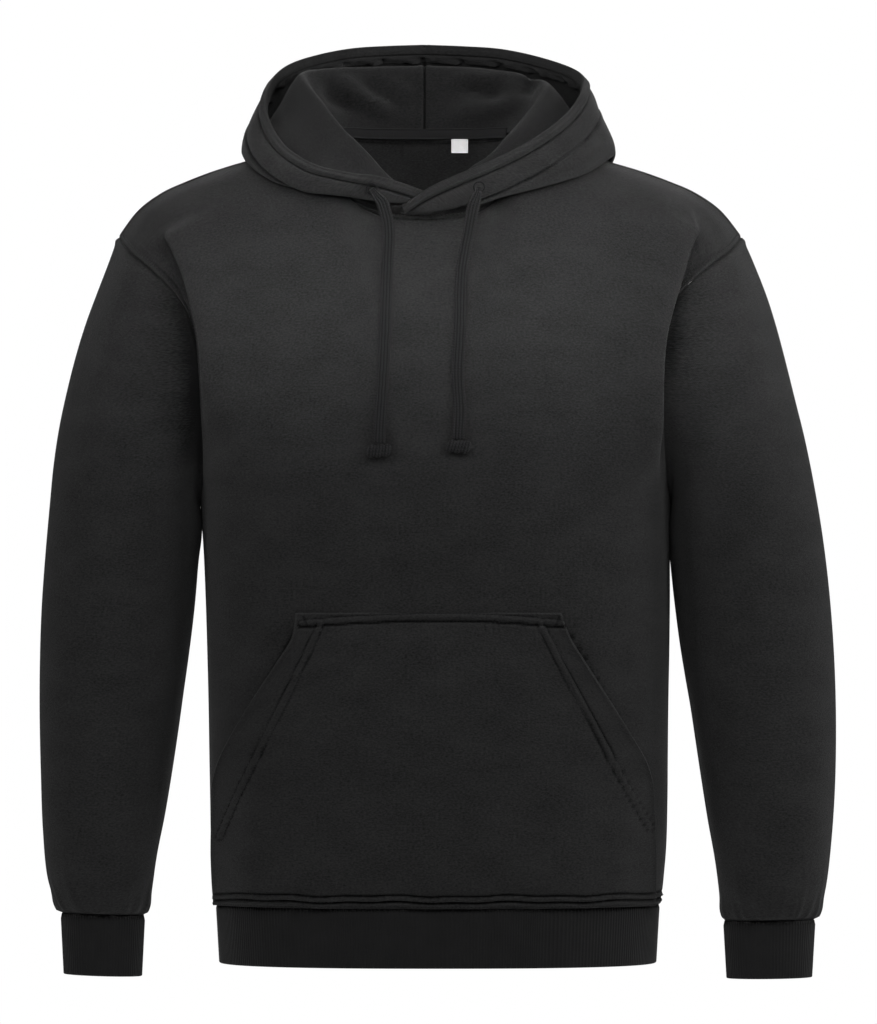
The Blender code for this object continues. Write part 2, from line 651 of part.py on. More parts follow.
def pocket_grid():
    """The pocket from its lower edge up, from the front panel's points moved out."""
    heights = [POCKET[-1].height + (POCKET[0].height - POCKET[-1].height) * row / POCKET_ROWS
               for row in range(POCKET_ROWS + 1)]
    laid = []
    for height in heights:
        right = value_at(POCKET, "height", "right", height)
        left = value_at(POCKET, "height", "left", height)
        laid.append([front_point(right + (left - right) * span / POCKET_SPANS, height)
                     for span in range(POCKET_SPANS + 1)])
    normals = grid_normals(laid, False)
    raised = []
    for height, points, directions in zip(heights, laid, normals):
        middle = value_at(POCKET, "height", "middle", height)
        mouth = value_at(POCKET, "height", "mouth", height)
        line = []
        for span, (point, normal) in enumerate(zip(points, directions)):
            edge = (2 * span / POCKET_SPANS - 1) ** 2
            lift = POCKET_LIFT + POCKET_EDGE * edge ** 2
            line.append(point + normal * (lift + middle * (1 - edge) + mouth * edge))
        raised.append(line)
    return raised


def tape_grid():
    """A strip over the back neck seam, from the wearer's left round to the right."""
    grid = []
    for rise in (-TAPE_HALF, 0.0, TAPE_HALF):
        line = []
        for span in range(TAPE_SPANS + 1):
            turn = TAPE_TURN * (1 - 2 * span / TAPE_SPANS)
            seam = hood_seam(180 - abs(turn), -1 if turn < 0 else 1)
            line.append(seam + Vector((0, 0, rise)))
        grid.append(line)
    return grid


def label_grid():
    """The size label hangs straight down from the tape's lower edge."""
    seam = hood_seam(LABEL_TURN, 1)
    top = seam.z - TAPE_HALF - SEAM_GAP
    depth = seam.y - TAPE_IN - TAPE / 2
    return [[Vector((seam.x + LABEL_WIDTH * across, depth + LABEL_LEAN * drop, top - LABEL_DROP * drop))
             for across in (-0.5, 0.0, 0.5)] for drop in (1.0, 0.5, 0.0)]


def eyelet_place(table, eyelet):
    """Where an eyelet sits on the hood's outside, and the way it faces."""
    step = 0.01
    middle = hood_point(table, eyelet.side, eyelet.station, eyelet.place)
    along = (hood_point(table, eyelet.side, eyelet.station + step, eyelet.place)
             - hood_point(table, eyelet.side, eyelet.station - step, eyelet.place))
    up = (hood_point(table, eyelet.side, eyelet.station, eyelet.place + step)
          - hood_point(table, eyelet.side, eyelet.station, eyelet.place - step))
    facing = (along * eyelet.side).cross(up).normalized()
    return middle + facing * (HOOD_LAYER + 1.5 * SEAM_GAP), facing


def eyelet(name, table, spot):
    """A ring of binding thread round the hole that the cord leaves by."""
    place, facing = eyelet_place(table, spot)
    bpy.ops.mesh.primitive_torus_add(major_segments=16, minor_segments=6,
                                     major_radius=EYELET_RADIUS, minor_radius=BINDING,
                                     location=place + facing * BINDING,
                                     rotation=facing.to_track_quat("Z", "Y").to_euler())
    ring = bpy.context.object
    ring.name = name
    ring.data.name = name
    ring.data.materials.append(braid)
    ring.data.shade_smooth()
    for collection in ring.users_collection:
        collection.objects.unlink(ring)
    parts.objects.link(ring)


def drawcord(name, route, tilt):
    """A flat braid along a smooth curve through its route, narrow where it leaves the eyelet."""
    route = [Vector(point) for point in route]
    fine = [curve_point(route, k / ROUTE_STEPS) for k in range(ROUTE_STEPS + 1)]
    length = sum((b - a).length for a, b in zip(fine, fine[1:]))
    count = round(length / CORD_STEP)
    points = []
    reach = 0.0
    for a, b in zip(fine, fine[1:]):
        while reach >= len(points) * length / count:
            points.append((a, reach))
        reach += (b - a).length
    points.append((fine[-1], length))
    curve = bpy.data.curves.new(name, "CURVE")
    curve.dimensions = "3D"
    curve.extrude = (CORD_WIDTH - CORD_THICK) / 2
    curve.bevel_depth = CORD_THICK / 2
    curve.bevel_resolution = 2
    curve.use_fill_caps = True
    curve.materials.append(braid)
    spline = curve.splines.new("POLY")
    spline.points.add(len(points) - 1)
    for node, (point, reach) in zip(spline.points, points):
        node.co = (*point, 1.0)
        node.radius = CORD_START + (1 - CORD_START) * smooth(reach / CORD_OPENING)
        node.tilt = math.radians(tilt)
    cord = bpy.data.objects.new(name, curve)
    parts.objects.link(cord)


def knot(name, end):
    """The knot below a cord's end: a rounded block, wider than the braid."""
    bpy.ops.mesh.primitive_cube_add(size=1.0)
    block = bpy.context.object
    block.name = name
    block.data.name = name
    middle = Vector(end) - Vector((0, 0, KNOT[2] / 2 + KNOT_GAP))
    for vertex in block.data.vertices:
        vertex.co = middle + Vector([part * size for part, size in zip(vertex.co, KNOT)])
    rounding = block.modifiers.new("rounding", "BEVEL")
    rounding.width = KNOT_ROUND
    rounding.segments = 3
    block.data.materials.append(braid)
    block.data.shade_smooth()
    for collection in block.users_collection:
        collection.objects.unlink(block)
    parts.objects.link(block)


front_grid = body_grid(-1)
back_grid = body_grid(1)
sleeve_grids = {"right": sleeve_grid(SLEEVE_RIGHT, -1), "left": sleeve_grid(SLEEVE_LEFT, 1)}
sheets = {
    "front": front_grid,
    "back": back_grid,
    "sleeve_right": sleeve_grids["right"],
    "sleeve_left": sleeve_grids["left"],
    "cuff_right": band_grid(sleeve_grids["right"][0], CUFF_HEIGHT["right"], CUFF_TAPER),
    "cuff_left": band_grid(sleeve_grids["left"][0], CUFF_HEIGHT["left"], CUFF_TAPER),
    "hem_band": band_grid(front_grid[0][:-1] + back_grid[0][:-1], HEM_HEIGHT, HEM_TAPER),
}
tubes = [name for name in sheets if name not in ("front", "back")]
sheets = {name: (grid, grid_normals(grid, name in tubes)) for name, grid in sheets.items()}
for name in ("front", "back"):
    # where front and back meet each other they count as one surface against their neighbours
    normals = sheets[name][1]
    normals[-1] = [normal * 0.5 for normal in normals[-1]]
    for line in normals[:BODY_ROWS + 1]:
        line[0] = line[0] * 0.5
        line[-1] = line[-1] * 0.5
share_normals(sheets.values())
for name, (grid, normals) in sheets.items():
    closed = name in tubes
    banded = name.startswith("cuff") or name == "hem_band"
    draw_in(grid, normals, closed, SEAM_GAP if name.startswith("sleeve") else SEAM_GAP / 2)
    cloth_wall(name, grid, normals, closed, rib if banded else fleece, 0.0, RIB if banded else FLEECE)

pocket_points = pocket_grid()
cloth_wall("pocket", pocket_points, grid_normals(pocket_points, False), False, fleece, -FLEECE, 0.0)

hoods = {}
for name, table, side in (("right", HOOD_RIGHT, -1), ("left", HOOD_LEFT, 1)):
    grid = hood_grid(table, side)
    hoods[name] = (grid, grid_normals(grid, False))
share_normals(hoods.values())
for name, (grid, normals) in hoods.items():
    draw_in(grid, normals, False, SEAM_GAP / 2)
    cloth_wall("hood_" + name, grid, normals, False, fleece, -SEAM_GAP / 2 - HOOD_LAYER, -SEAM_GAP / 2)
    cloth_wall("hood_lining_" + name, grid, normals, False, fleece,
               SEAM_GAP / 2, SEAM_GAP / 2 + HOOD_LAYER)

tape_points = tape_grid()
cloth_wall("neck_tape", tape_points, grid_normals(tape_points, False), False, tape_cloth,
           TAPE_IN, TAPE_IN + TAPE)
label_points = label_grid()
cloth_wall("label", label_points, grid_normals(label_points, False), False, white_tab,
           -LABEL / 2, LABEL / 2)

for name, table in (("right", HOOD_RIGHT), ("left", HOOD_LEFT)):
    eyelet("eyelet_" + name, table, EYELETS[name])
    drawcord("drawcord_" + name, CORD_ROUTE[name], CORD_TILT[name])
    knot("knot_" + name, CORD_ROUTE[name][-1])
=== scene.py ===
"""Pullover hoodie in its hollow worn form: knit, seams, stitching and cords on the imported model."""
import math
import random
from collections import namedtuple

import bpy
import numpy as np
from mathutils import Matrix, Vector
from mathutils.bvhtree import BVHTree


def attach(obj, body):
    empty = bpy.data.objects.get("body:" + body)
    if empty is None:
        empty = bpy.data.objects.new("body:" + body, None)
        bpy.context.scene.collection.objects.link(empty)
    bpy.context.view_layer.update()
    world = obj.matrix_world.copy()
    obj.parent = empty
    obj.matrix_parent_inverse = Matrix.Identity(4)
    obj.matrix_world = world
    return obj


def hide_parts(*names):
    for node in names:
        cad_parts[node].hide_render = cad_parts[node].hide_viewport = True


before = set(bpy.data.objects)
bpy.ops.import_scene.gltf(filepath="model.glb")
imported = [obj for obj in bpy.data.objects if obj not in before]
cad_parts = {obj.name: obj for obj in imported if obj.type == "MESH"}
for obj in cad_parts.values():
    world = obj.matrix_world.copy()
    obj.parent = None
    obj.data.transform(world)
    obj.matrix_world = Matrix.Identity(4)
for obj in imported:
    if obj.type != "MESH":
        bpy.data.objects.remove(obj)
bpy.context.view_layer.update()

bpy.ops.object.select_all(action="DESELECT")

# ---------------------------------------------------------------- camera
# The garment is seen level from straight in front, from far enough away that it hardly narrows
# with depth: 7 m, with a long lens whose frame is a little wider than the spread sleeves.
AIM = (0.00765, 0.0, -0.3123)
CAMERA_AWAY = 7.0
camera_data = bpy.data.cameras.new("camera")
camera_data.lens = 273.4
camera_data.sensor_width = 36.0
camera = bpy.data.objects.new("camera", camera_data)
camera.location = (AIM[0], AIM[1] - CAMERA_AWAY, AIM[2])
camera.rotation_euler = (math.pi / 2, 0.0, 0.0)
bpy.context.scene.collection.objects.link(camera)
bpy.context.scene.camera = camera

# ---------------------------------------------------------------- drawcords
# Two free ends of one flat cotton braid, 11 mm wide, that runs in the hood's front band.  Each
# leaves by an eyelet, turns down over the band and hangs flat on the chest to its knot.
CORD_WIDTH = 0.0110
CORD_THICK = 0.0024
CORD_RIBS = 4                   # plaited columns across one face
CORD_RIB_RISE = 0.00046
CORD_START = 0.45               # share of the width at the eyelet
CORD_OPENING = 0.0200           # length over which it opens out
CORD_GATHER = 0.4               # share of the thickness where the braid is gathered to nothing
CORD_SECTION = (0.75, 0.55)     # powers that square off an oval, across and through
CORD_STEPS = 600
CORD_RINGS = 190
CORD_ROUND = 64                 # points round the braid
CORD_LENGTH = {"right": 0.2335, "left": 0.2290}
CORD_ROUTE = {
    "right": [(-0.0514, -0.1113, -0.0264), (-0.0506, -0.1140, -0.0275), (-0.0470, -0.1160, -0.0325),
              (-0.0412, -0.1165, -0.0412), (-0.0366, -0.1150, -0.0629), (-0.0378, -0.1160, -0.0985),
              (-0.0395, -0.1305, -0.1518), (-0.0413, -0.1363, -0.1888), (-0.0444, -0.1402, -0.2400),
              (-0.0448, -0.1404, -0.2518)],
    "left": [(0.0434, -0.1134, -0.0248), (0.0432, -0.1162, -0.0258), (0.0425, -0.1182, -0.0310),
             (0.0385, -0.1185, -0.0420), (0.0345, -0.1160, -0.0629), (0.0284, -0.1155, -0.0985),
             (0.0266, -0.1305, -0.1518), (0.0248, -0.1365, -0.1897), (0.0264, -0.1395, -0.2215),
             (0.0256, -0.1410, -0.2400), (0.0254, -0.1411, -0.2482)],
}


class Socket:
    """An output of a shader node; arithmetic on it adds Math nodes."""

    def __init__(self, nodes, link):
        self.nodes = nodes
        self.link = link

    def work(self, operation, *values):
        return self.nodes.node("ShaderNodeMath", {"operation": operation}, dict(enumerate(values)))

    def __add__(self, other):
        return self.work("ADD", self, other)

    def __radd__(self, other):
        return self.work("ADD", other, self)

    def __sub__(self, other):
        return self.work("SUBTRACT", self, other)

    def __rsub__(self, other):
        return self.work("SUBTRACT", other, self)

    def __mul__(self, other):
        return self.work("MULTIPLY", self, other)

    def __rmul__(self, other):
        return self.work("MULTIPLY", other, self)

    def __pow__(self, other):
        return self.work("POWER", self, other)

    def fraction(self):
        return self.work("FRACT", self)

    def size(self):
        return self.work("ABSOLUTE", self)

    def cosine(self):
        return self.work("COSINE", self * (2 * math.pi))

    def clamp(self, low, high):
        return self.work("MINIMUM", self.work("MAXIMUM", self, low), high)


class Nodes:
    """The shader nodes of a material or of the world."""

    def __init__(self, tree):
        self.tree = tree

    def node(self, kind, settings, sockets, output=0):
        """Add a node, its settings first, then the values or links of its sockets."""
        node = self.tree.nodes.new(kind)
        for name, setting in settings.items():
            setattr(node, name, setting)
        for name, value in sockets.items():
            if isinstance(value, Socket):
                self.tree.links.new(value.link, node.inputs[name])
            else:
                node.inputs[name].default_value = value
        return Socket(self, node.outputs[output])


class Look(Nodes):
    """A material in the making, with its shader and the nodes that lead to it."""

    def __init__(self, name, roughness, sheen):
        self.material = bpy.data.materials.new(name)
        self.material.use_nodes = True
        super().__init__(self.material.node_tree)
        self.shader = self.tree.nodes["Principled BSDF"]
        for socket, value in (("Roughness", roughness), ("Specular IOR Level", 0.18),
                              ("Sheen Weight", sheen), ("Sheen Roughness", 0.45)):
            self.shader.inputs[socket].default_value = value

    def place(self):
        """The piece's own place on its cloth, in metres: across the wales, and along them."""
        weave = self.node("ShaderNodeUVMap", {"uv_map": "weave"}, {})
        return (self.node("ShaderNodeSeparateXYZ", {}, {0: weave}, 0),
                self.node("ShaderNodeSeparateXYZ", {}, {0: weave}, 1))

    def noise(self, across, along, scale, stretch=1.0):
        """Cloudy value from 0 to 1; stretch above 1 draws it out across the wales."""
        spot = self.node("ShaderNodeCombineXYZ", {},
                         {0: across * (scale / stretch), 1: along * scale})
        return self.node("ShaderNodeTexNoise", {}, {"Vector": spot, "Scale": 1.0, "Detail": 2.0})

    def paint(self, dark, light, share):
        """Base colour between two tones."""
        colour = self.node("ShaderNodeMix", {"data_type": "RGBA"},
                           {0: share, 6: (*dark, 1.0), 7: (*light, 1.0)}, 2)
        self.tree.links.new(colour.link, self.shader.inputs["Base Color"])

    def raise_by(self, height, distance, strength=1.0):
        """Bump in metres."""
        bump = self.node("ShaderNodeBump", {}, {"Height": height, "Distance": distance,
                                                "Strength": strength})
        self.tree.links.new(bump.link, self.shader.inputs["Normal"])


def between(before, start, end, after, t):
    """Catmull-Rom curve from start to end; t runs from 0 to 1."""
    return 0.5 * (2 * start + (end - before) * t
                  + (2 * before - 5 * start + 4 * end - after) * t ** 2
                  + (3 * start - before - 3 * end + after) * t ** 3)


def curve_point(points, place):
    """A point of the smooth curve through points; place runs from 0 to 1."""
    spans = len(points) - 1
    index = min(int(place * spans), spans - 1)
    return between(points[max(index - 1, 0)], points[index], points[index + 1],
                   points[min(index + 2, spans)], place * spans - index)


def steps_along(points, axis=0):
    """The lengths of the steps from each point of a line or a grid to the next."""
    return np.linalg.norm(np.diff(points, axis=axis), axis=-1)


def even_points(points, count):
    """The same line with its points an equal length apart."""
    points = np.asarray(points, float)
    reach = np.concatenate([[0.0], np.cumsum(steps_along(points))])
    places = np.linspace(0.0, reach[-1], count)
    return np.stack([np.interp(places, reach, points[:, axis]) for axis in range(3)], axis=1)


def ease(t):
    """Ease from 0 to 1."""
    t = np.clip(t, 0.0, 1.0)
    return t * t * (3 - 2 * t)


def unit(vectors):
    """Vectors of length one."""
    return vectors / np.maximum(np.linalg.norm(vectors, axis=-1, keepdims=True), 1e-12)


def new_piece(name, points, faces, finish):
    """A smooth mesh object, with an empty map for its place on the cloth."""
    mesh = bpy.data.meshes.new(name)
    mesh.from_pydata(points, [], faces)
    mesh.uv_layers.new(name="weave")
    mesh.materials.append(finish)
    mesh.shade_smooth()
    piece = bpy.data.objects.new(name, mesh)
    bpy.context.scene.collection.objects.link(piece)
    return piece


def cells(grid, closed):
    """The row, the column and the corners of each face of a grid; closed joins its sides."""
    rows, columns = grid.shape[:2]
    i, j = np.indices((rows - 1, columns if closed else columns - 1)).reshape(2, -1)
    k = (j + 1) % columns
    return i, j, np.stack([i * columns + j, i * columns + k,
                           (i + 1) * columns + k, (i + 1) * columns + j], 1)


def grid_piece(name, grid, weave, closed, finish, painted_shade=None):
    """A smooth mesh on a grid of points, rows by columns, with its place on the cloth as UV and,
    as an attribute, how much painted shade each point takes in a stitched line or a hollow."""
    i, j, faces = cells(grid, closed)
    corners = np.stack([weave[i, j], weave[i, j + 1], weave[i + 1, j + 1], weave[i + 1, j]], 1)
    piece = new_piece(name, grid.reshape(-1, 3).tolist(), faces.tolist(), finish)
    piece.data.uv_layers["weave"].data.foreach_set("uv", corners.ravel())
    # painted shade of stitched lines and hollows, kept as a point attribute
    if painted_shade is not None:
        depth = piece.data.attributes.new("painted_shade", "FLOAT", "POINT")
        depth.data.foreach_set("value", painted_shade.ravel())
    return piece


def place_grid(across, along):
    """Every pair of places across and along, as rows by columns."""
    return np.stack(np.meshgrid(across, along), axis=-1)


def weave_of(grid, closed):
    """Where each grid point lies on the flat cloth: metres from the middle column, and up."""
    ring = np.concatenate([grid, grid[:, :1]], axis=1) if closed else grid
    weave = np.zeros(ring.shape[:2] + (2,))
    weave[:, 1:, 0] = np.cumsum(steps_along(ring, 1), axis=1)
    weave[:, :, 0] -= weave[:, ring.shape[1] // 2, 0][:, None]
    weave[1:, :, 1] = np.cumsum(steps_along(ring), axis=0)
    return weave


braid_look = Look("black_braid_plaited", 0.85, 0.06)
across, along = braid_look.place()
column = (across * (CORD_RIBS / CORD_WIDTH)).fraction() * 2 - 1
valley = column.size() ** 3
strand = (along * (1 / 0.0024) + column.size() * 0.8).cosine() * 0.5 + 0.5
# the raised strands are painted lighter and the grooves between columns darker: painted highlight and
# shade of the plait, over a random tone
tone = strand * 0.40 - valley * 0.7 + braid_look.noise(across, along, 900.0) * 0.7
braid_look.paint((0.007, 0.007, 0.008), (0.052, 0.052, 0.053), tone.clamp(0.0, 1.0))
braid_look.raise_by(strand * 0.6 - valley, 0.00040)
braid = braid_look.material


def cord_rings(route):
    """The braid's centre line and, at each point, the directions of its width and thickness."""
    route = [np.array(point) for point in route]
    places = np.arange(CORD_STEPS + 1) / CORD_STEPS
    line = even_points([curve_point(route, place) for place in places], CORD_RINGS)
    ahead = unit(np.gradient(line, axis=0))
    width = np.zeros_like(line)
    turn = np.array((1.0, 0.0, 0.0))
    for index in range(CORD_RINGS - 1, -1, -1):
        turn = unit(turn - ahead[index] * turn.dot(ahead[index]))
        width[index] = turn
    return line, width, np.cross(width, ahead)


def braid_tube(name, line, width, depth, size, finish):
    """A flat braid along a line: rounded edges, and plaited columns raised on both faces."""
    angles = np.linspace(0, 2 * math.pi, CORD_ROUND, endpoint=False)
    flat = np.sign(np.cos(angles)) * np.abs(np.cos(angles)) ** CORD_SECTION[0]
    thick = np.sign(np.sin(angles)) * np.abs(np.sin(angles)) ** CORD_SECTION[1]
    ribs = np.abs(np.sin(math.pi * CORD_RIBS * (flat + 1) / 2)) * CORD_RIB_RISE
    face = thick * (CORD_THICK / 2 - CORD_RIB_RISE / 2) + np.sign(thick) * ribs
    size = size[:, None]
    grid = (line[:, None] + width[:, None] * (flat * CORD_WIDTH / 2 * size)[:, :, None]
            + depth[:, None] * (face * (CORD_GATHER + (1 - CORD_GATHER) * size))[:, :, None])
    weave = place_grid(np.append(flat, flat[0]) * CORD_WIDTH / 2,
                       np.concatenate([[0.0], np.cumsum(steps_along(line))]))
    piece = grid_piece(name, grid, weave, True, finish)
    last = (len(line) - 1) * CORD_ROUND
    caps = [list(range(CORD_ROUND))[::-1], list(range(last, last + CORD_ROUND))]
    ends = new_piece(name + "_ends", [vertex.co for vertex in piece.data.vertices], caps, finish)
    ends.data.shade_flat()
    join(piece, [ends])
    return piece


WELD = 0.000002                 # points this close together are one


def join(piece, others):
    """Join meshes into the first one and weld what meets."""
    bpy.ops.object.select_all(action="DESELECT")
    for other in others:
        other.select_set(True)
    piece.select_set(True)
    bpy.context.view_layer.objects.active = piece
    bpy.ops.object.join()
    bpy.ops.object.mode_set(mode="EDIT")
    bpy.ops.mesh.select_all(action="SELECT")
    bpy.ops.mesh.remove_doubles(threshold=WELD)
    bpy.ops.mesh.normals_make_consistent(inside=False)
    bpy.ops.object.mode_set(mode="OBJECT")
    bpy.ops.object.select_all(action="DESELECT")


def tell(piece, nodes):
    """Hang a piece on the garment's root and hide the imported parts that it stands for."""
    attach(piece, "root")
    if nodes:
        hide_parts(*nodes)


# Each end is knotted: the braid is wound on itself into a flat barrel across the cord
KNOT = (0.0222, 0.0076, 0.0125)      # across, front to back, along the cord
KNOT_GAP = 0.0002
KNOT_WRAPS = 3
KNOT_WAIST = 0.68                    # girth between the wraps, as a share of the full girth
KNOT_SLIP = 0.0011
KNOT_RADIUS = 0.0055
KNOT_ROWS, KNOT_ROUND = 45, 40
KNOT_TILT = {"right": 3.0, "left": -5.0}
for name, route in CORD_ROUTE.items():
    line, width, depth = cord_rings(route)
    reach = np.linspace(0.0, 1.0, CORD_RINGS) * CORD_LENGTH[name]
    size = CORD_START + (1 - CORD_START) * ease(reach / CORD_OPENING)
    cord = braid_tube("drawcord_braid_" + name, line, width, depth, size, braid)
    end = line[-1]
    tilt = math.radians(KNOT_TILT[name])
    share = np.arange(KNOT_ROWS)[:, None] / (KNOT_ROWS - 1)
    angle = 2 * math.pi * np.arange(KNOT_ROUND) / KNOT_ROUND
    lobe = np.abs(np.sin(math.pi * (KNOT_WRAPS * share)))
    round_end = np.maximum(1 - np.abs(2 * share - 1) ** 5, 0.0) ** 0.5
    girth = (KNOT_WAIST + (1 - KNOT_WAIST) * lobe ** 0.6) * np.maximum(round_end, 0.02)
    x = (share - 0.5) * KNOT[0] + KNOT_SLIP * np.sin(angle) * round_end
    z = np.sin(angle) * KNOT[2] / 2 * girth
    grid = np.stack([end[0] + x * math.cos(tilt) - z * math.sin(tilt),
                     end[1] - np.cos(angle) * KNOT[1] / 2 * girth,
                     end[2] - KNOT_GAP - KNOT[2] / 2 + x * math.sin(tilt) + z * math.cos(tilt)],
                    axis=-1)
    weave = place_grid(np.linspace(0, 2 * math.pi, KNOT_ROUND + 1) * KNOT_RADIUS,
                       np.linspace(0, 1, KNOT_ROWS) * KNOT[0])[:, :, ::-1]
    knot = grid_piece("knot_wound_" + name, grid[:, ::-1], weave, True, braid)
    tell(cord, ["drawcord_" + name])
    tell(knot, ["knot_" + name])

# ---------------------------------------------------------------- front and back
# One fleece panel in front and one behind, joined at the side seams and the shoulders.  The
# knit's face is out; seams sink a little, and the hem seam is covered by a two-needle stitch.
FLEECE = 0.0018
NECK_SPANS = 5
HALF_SPANS = 13
BODY_ROWS = 8
ARMHOLE_ROWS = 12
SEAM_CUTS = 14                  # steps in the span beside a seam; CROWDING draws them to the seam
CROWDING = 1.7
SPAN_CUTS = 7
EDGE_CUTS = [8, 8, 6]
MIDDLE_CUTS = 4
COLUMN_CUTS = EDGE_CUTS + [MIDDLE_CUTS] * 18 + EDGE_CUTS[::-1]      # without the outer two spans
ROW_CUTS = [40] + [SPAN_CUTS] * 18
ARMHOLE_POINTS = SPAN_CUTS * (ARMHOLE_ROWS - 1) + SEAM_CUTS + 1
Ring = namedtuple("Ring", "height middle half front back")
BODY = [
    Ring(-0.6640, 0.0070, 0.1998, 0.113, 0.109),
    Ring(-0.6435, 0.0068, 0.2022, 0.119, 0.115),
    Ring(-0.6075, 0.0080, 0.2043, 0.122, 0.119),
    Ring(-0.5500, 0.0078, 0.2053, 0.125, 0.120),
    Ring(-0.4815, 0.0076, 0.2062, 0.127, 0.116),
    Ring(-0.4095, 0.0073, 0.2078, 0.130, 0.113),
    Ring(-0.3555, 0.0063, 0.2088, 0.133, 0.117),
    Ring(-0.3015, 0.0050, 0.2110, 0.136, 0.124),
]
SECTION_POWER = 0.80
NECK_TURN = math.radians(23)
NECK_RISE = 0.012
FRONT_NECK_REACH = 0.55
BACK_NECK_REACH = 0.90
Centre = namedtuple("Centre", "climb front front_height back back_height")
CENTRE = [
    Centre(0.00, 0.1360, -0.3015, 0.1240, -0.3015),
    Centre(0.25, 0.1370, -0.2350, 0.1340, -0.2150),
    Centre(0.50, 0.1290, -0.1650, 0.1330, -0.1250),
    Centre(0.75, 0.1080, -0.1000, 0.1100, -0.0420),
    Centre(1.00, 0.0830, -0.0470, 0.0700, 0.0290),
]
Armhole = namedtuple("Armhole", "climb out height front back")
ARMHOLE = [
    Armhole(0.00, 0.2110, -0.3015, 0.000, 0.000),
    Armhole(0.12, 0.2075, -0.2850, 0.030, 0.032),
    Armhole(0.26, 0.2035, -0.2500, 0.060, 0.064),
    Armhole(0.42, 0.2020, -0.2000, 0.080, 0.086),
    Armhole(0.56, 0.2065, -0.1580, 0.088, 0.094),
    Armhole(0.68, 0.2190, -0.1260, 0.087, 0.092),
    Armhole(0.80, 0.2420, -0.1010, 0.073, 0.078),
    Armhole(0.91, 0.2690, -0.0790, 0.042, 0.046),
    Armhole(1.00, 0.2810, -0.0650, 0.000, 0.000),
]
CHEST_ROLL = 0.009
SEAM_TILT = 0.005
Shoulder = namedtuple("Shoulder", "share out height")
SHOULDER = [
    Shoulder(0.00, 0.0950, 0.0200),
    Shoulder(0.24, 0.1420, 0.0085),
    Shoulder(0.47, 0.1890, -0.0045),
    Shoulder(0.66, 0.2250, -0.0180),
    Shoulder(0.81, 0.2510, -0.0315),
    Shoulder(0.92, 0.2700, -0.0490),
    Shoulder(1.00, 0.2810, -0.0650),
]
Neck = namedtuple("Neck", "turn out depth height")
NECK_MIDDLE = -0.0050
NECKLINE = [
    Neck(0, 0.0000, -0.0830, -0.0470),
    Neck(28, 0.0460, -0.0795, -0.0425),
    Neck(52, 0.0770, -0.0610, -0.0215),
    Neck(74, 0.0915, -0.0320, 0.0080),
    Neck(95, 0.0950, 0.0000, 0.0200),
    Neck(120, 0.0830, 0.0380, 0.0290),
    Neck(150, 0.0480, 0.0620, 0.0290),
    Neck(180, 0.0000, 0.0700, 0.0290),
]
SHOULDER_TURN = 95
# Soft folds and drags, seen from the front or the back: how far the cloth stands out (in, below
# zero), half its width on the right of the line, how much wider it is on the left, and the line
Fold = namedtuple("Fold", "rise width lean line")
FRONT_FOLDS = [
    Fold(-0.0050, 0.0080, 1.2, [(-0.2190, -0.1300), (-0.2280, -0.1020), (-0.2360, -0.0850),
                                (-0.2460, -0.0700)]),
    Fold(-0.0050, 0.0080, 1.2, [(0.2280, -0.1250), (0.2360, -0.0960), (0.2430, -0.0790),
                                (0.2520, -0.0710)]),
    Fold(0.0016, 0.0260, 1.4, [(-0.1450, -0.1850), (-0.0400, -0.1780), (0.0700, -0.1800),
                               (0.1650, -0.1720)]),
    Fold(-0.0014, 0.0300, 1.0, [(-0.1700, -0.2350), (-0.0600, -0.2450), (0.0500, -0.2380)]),
    Fold(-0.0012, 0.0240, 1.2, [(0.0300, -0.2900), (0.1100, -0.2700), (0.1850, -0.2350)]),
    Fold(0.0012, 0.0260, 1.0, [(-0.1700, -0.3300), (-0.0700, -0.3400), (0.0600, -0.3320),
                               (0.1600, -0.3420)]),
    Fold(-0.0010, 0.0200, 1.0, [(-0.1900, -0.3750), (-0.0900, -0.3850), (0.0200, -0.3780)]),
    Fold(0.0010, 0.0200, 1.0, [(0.0800, -0.3800), (0.1400, -0.3700), (0.1950, -0.3480)]),
    Fold(-0.0012, 0.0140, 1.0, [(-0.1500, -0.4700), (-0.1600, -0.4200), (-0.1500, -0.3600)]),
    Fold(-0.0012, 0.0140, 1.0, [(0.1650, -0.4900), (0.1700, -0.4300), (0.1600, -0.3700)]),
]
BACK_FOLDS = [
    Fold(0.0040, 0.0250, 0.30, [(-0.2150, -0.1900), (-0.2180, -0.1300), (-0.2300, -0.0900),
                                (-0.2400, -0.0650)]),
    Fold(0.0040, 0.0080, 3.50, [(0.2180, -0.1900), (0.2220, -0.1300), (0.2330, -0.0900),
                                (0.2430, -0.0650)]),
    Fold(0.0022, 0.0200, 1.3, [(-0.1500, -0.1300), (-0.0500, -0.1450), (0.0600, -0.1430),
                               (0.1500, -0.1250)]),
    Fold(-0.0024, 0.0180, 1.0, [(-0.1600, -0.1950), (-0.0500, -0.2100), (0.0300, -0.2060)]),
    Fold(0.0022, 0.0200, 1.2, [(0.0000, -0.2550), (0.0900, -0.2400), (0.1700, -0.2150)]),
    Fold(-0.0022, 0.0160, 1.0, [(-0.1800, -0.3100), (-0.0900, -0.3300), (0.0100, -0.3250)]),
    Fold(0.0024, 0.0180, 1.0, [(0.0400, -0.3700), (0.1200, -0.3500), (0.1900, -0.3150)]),
    Fold(0.0020, 0.0150, 1.0, [(-0.1850, -0.4100), (-0.1000, -0.4350), (-0.0200, -0.4300)]),
    Fold(-0.0020, 0.0160, 1.0, [(-0.0300, -0.4800), (0.0700, -0.4700), (0.1500, -0.4400)]),
    Fold(0.0016, 0.0140, 1.0, [(-0.1500, -0.5600), (-0.0600, -0.5750), (0.0500, -0.5650)]),
    Fold(-0.0016, 0.0140, 1.0, [(0.0300, -0.6200), (0.1000, -0.6050), (0.1700, -0.5800)]),
]
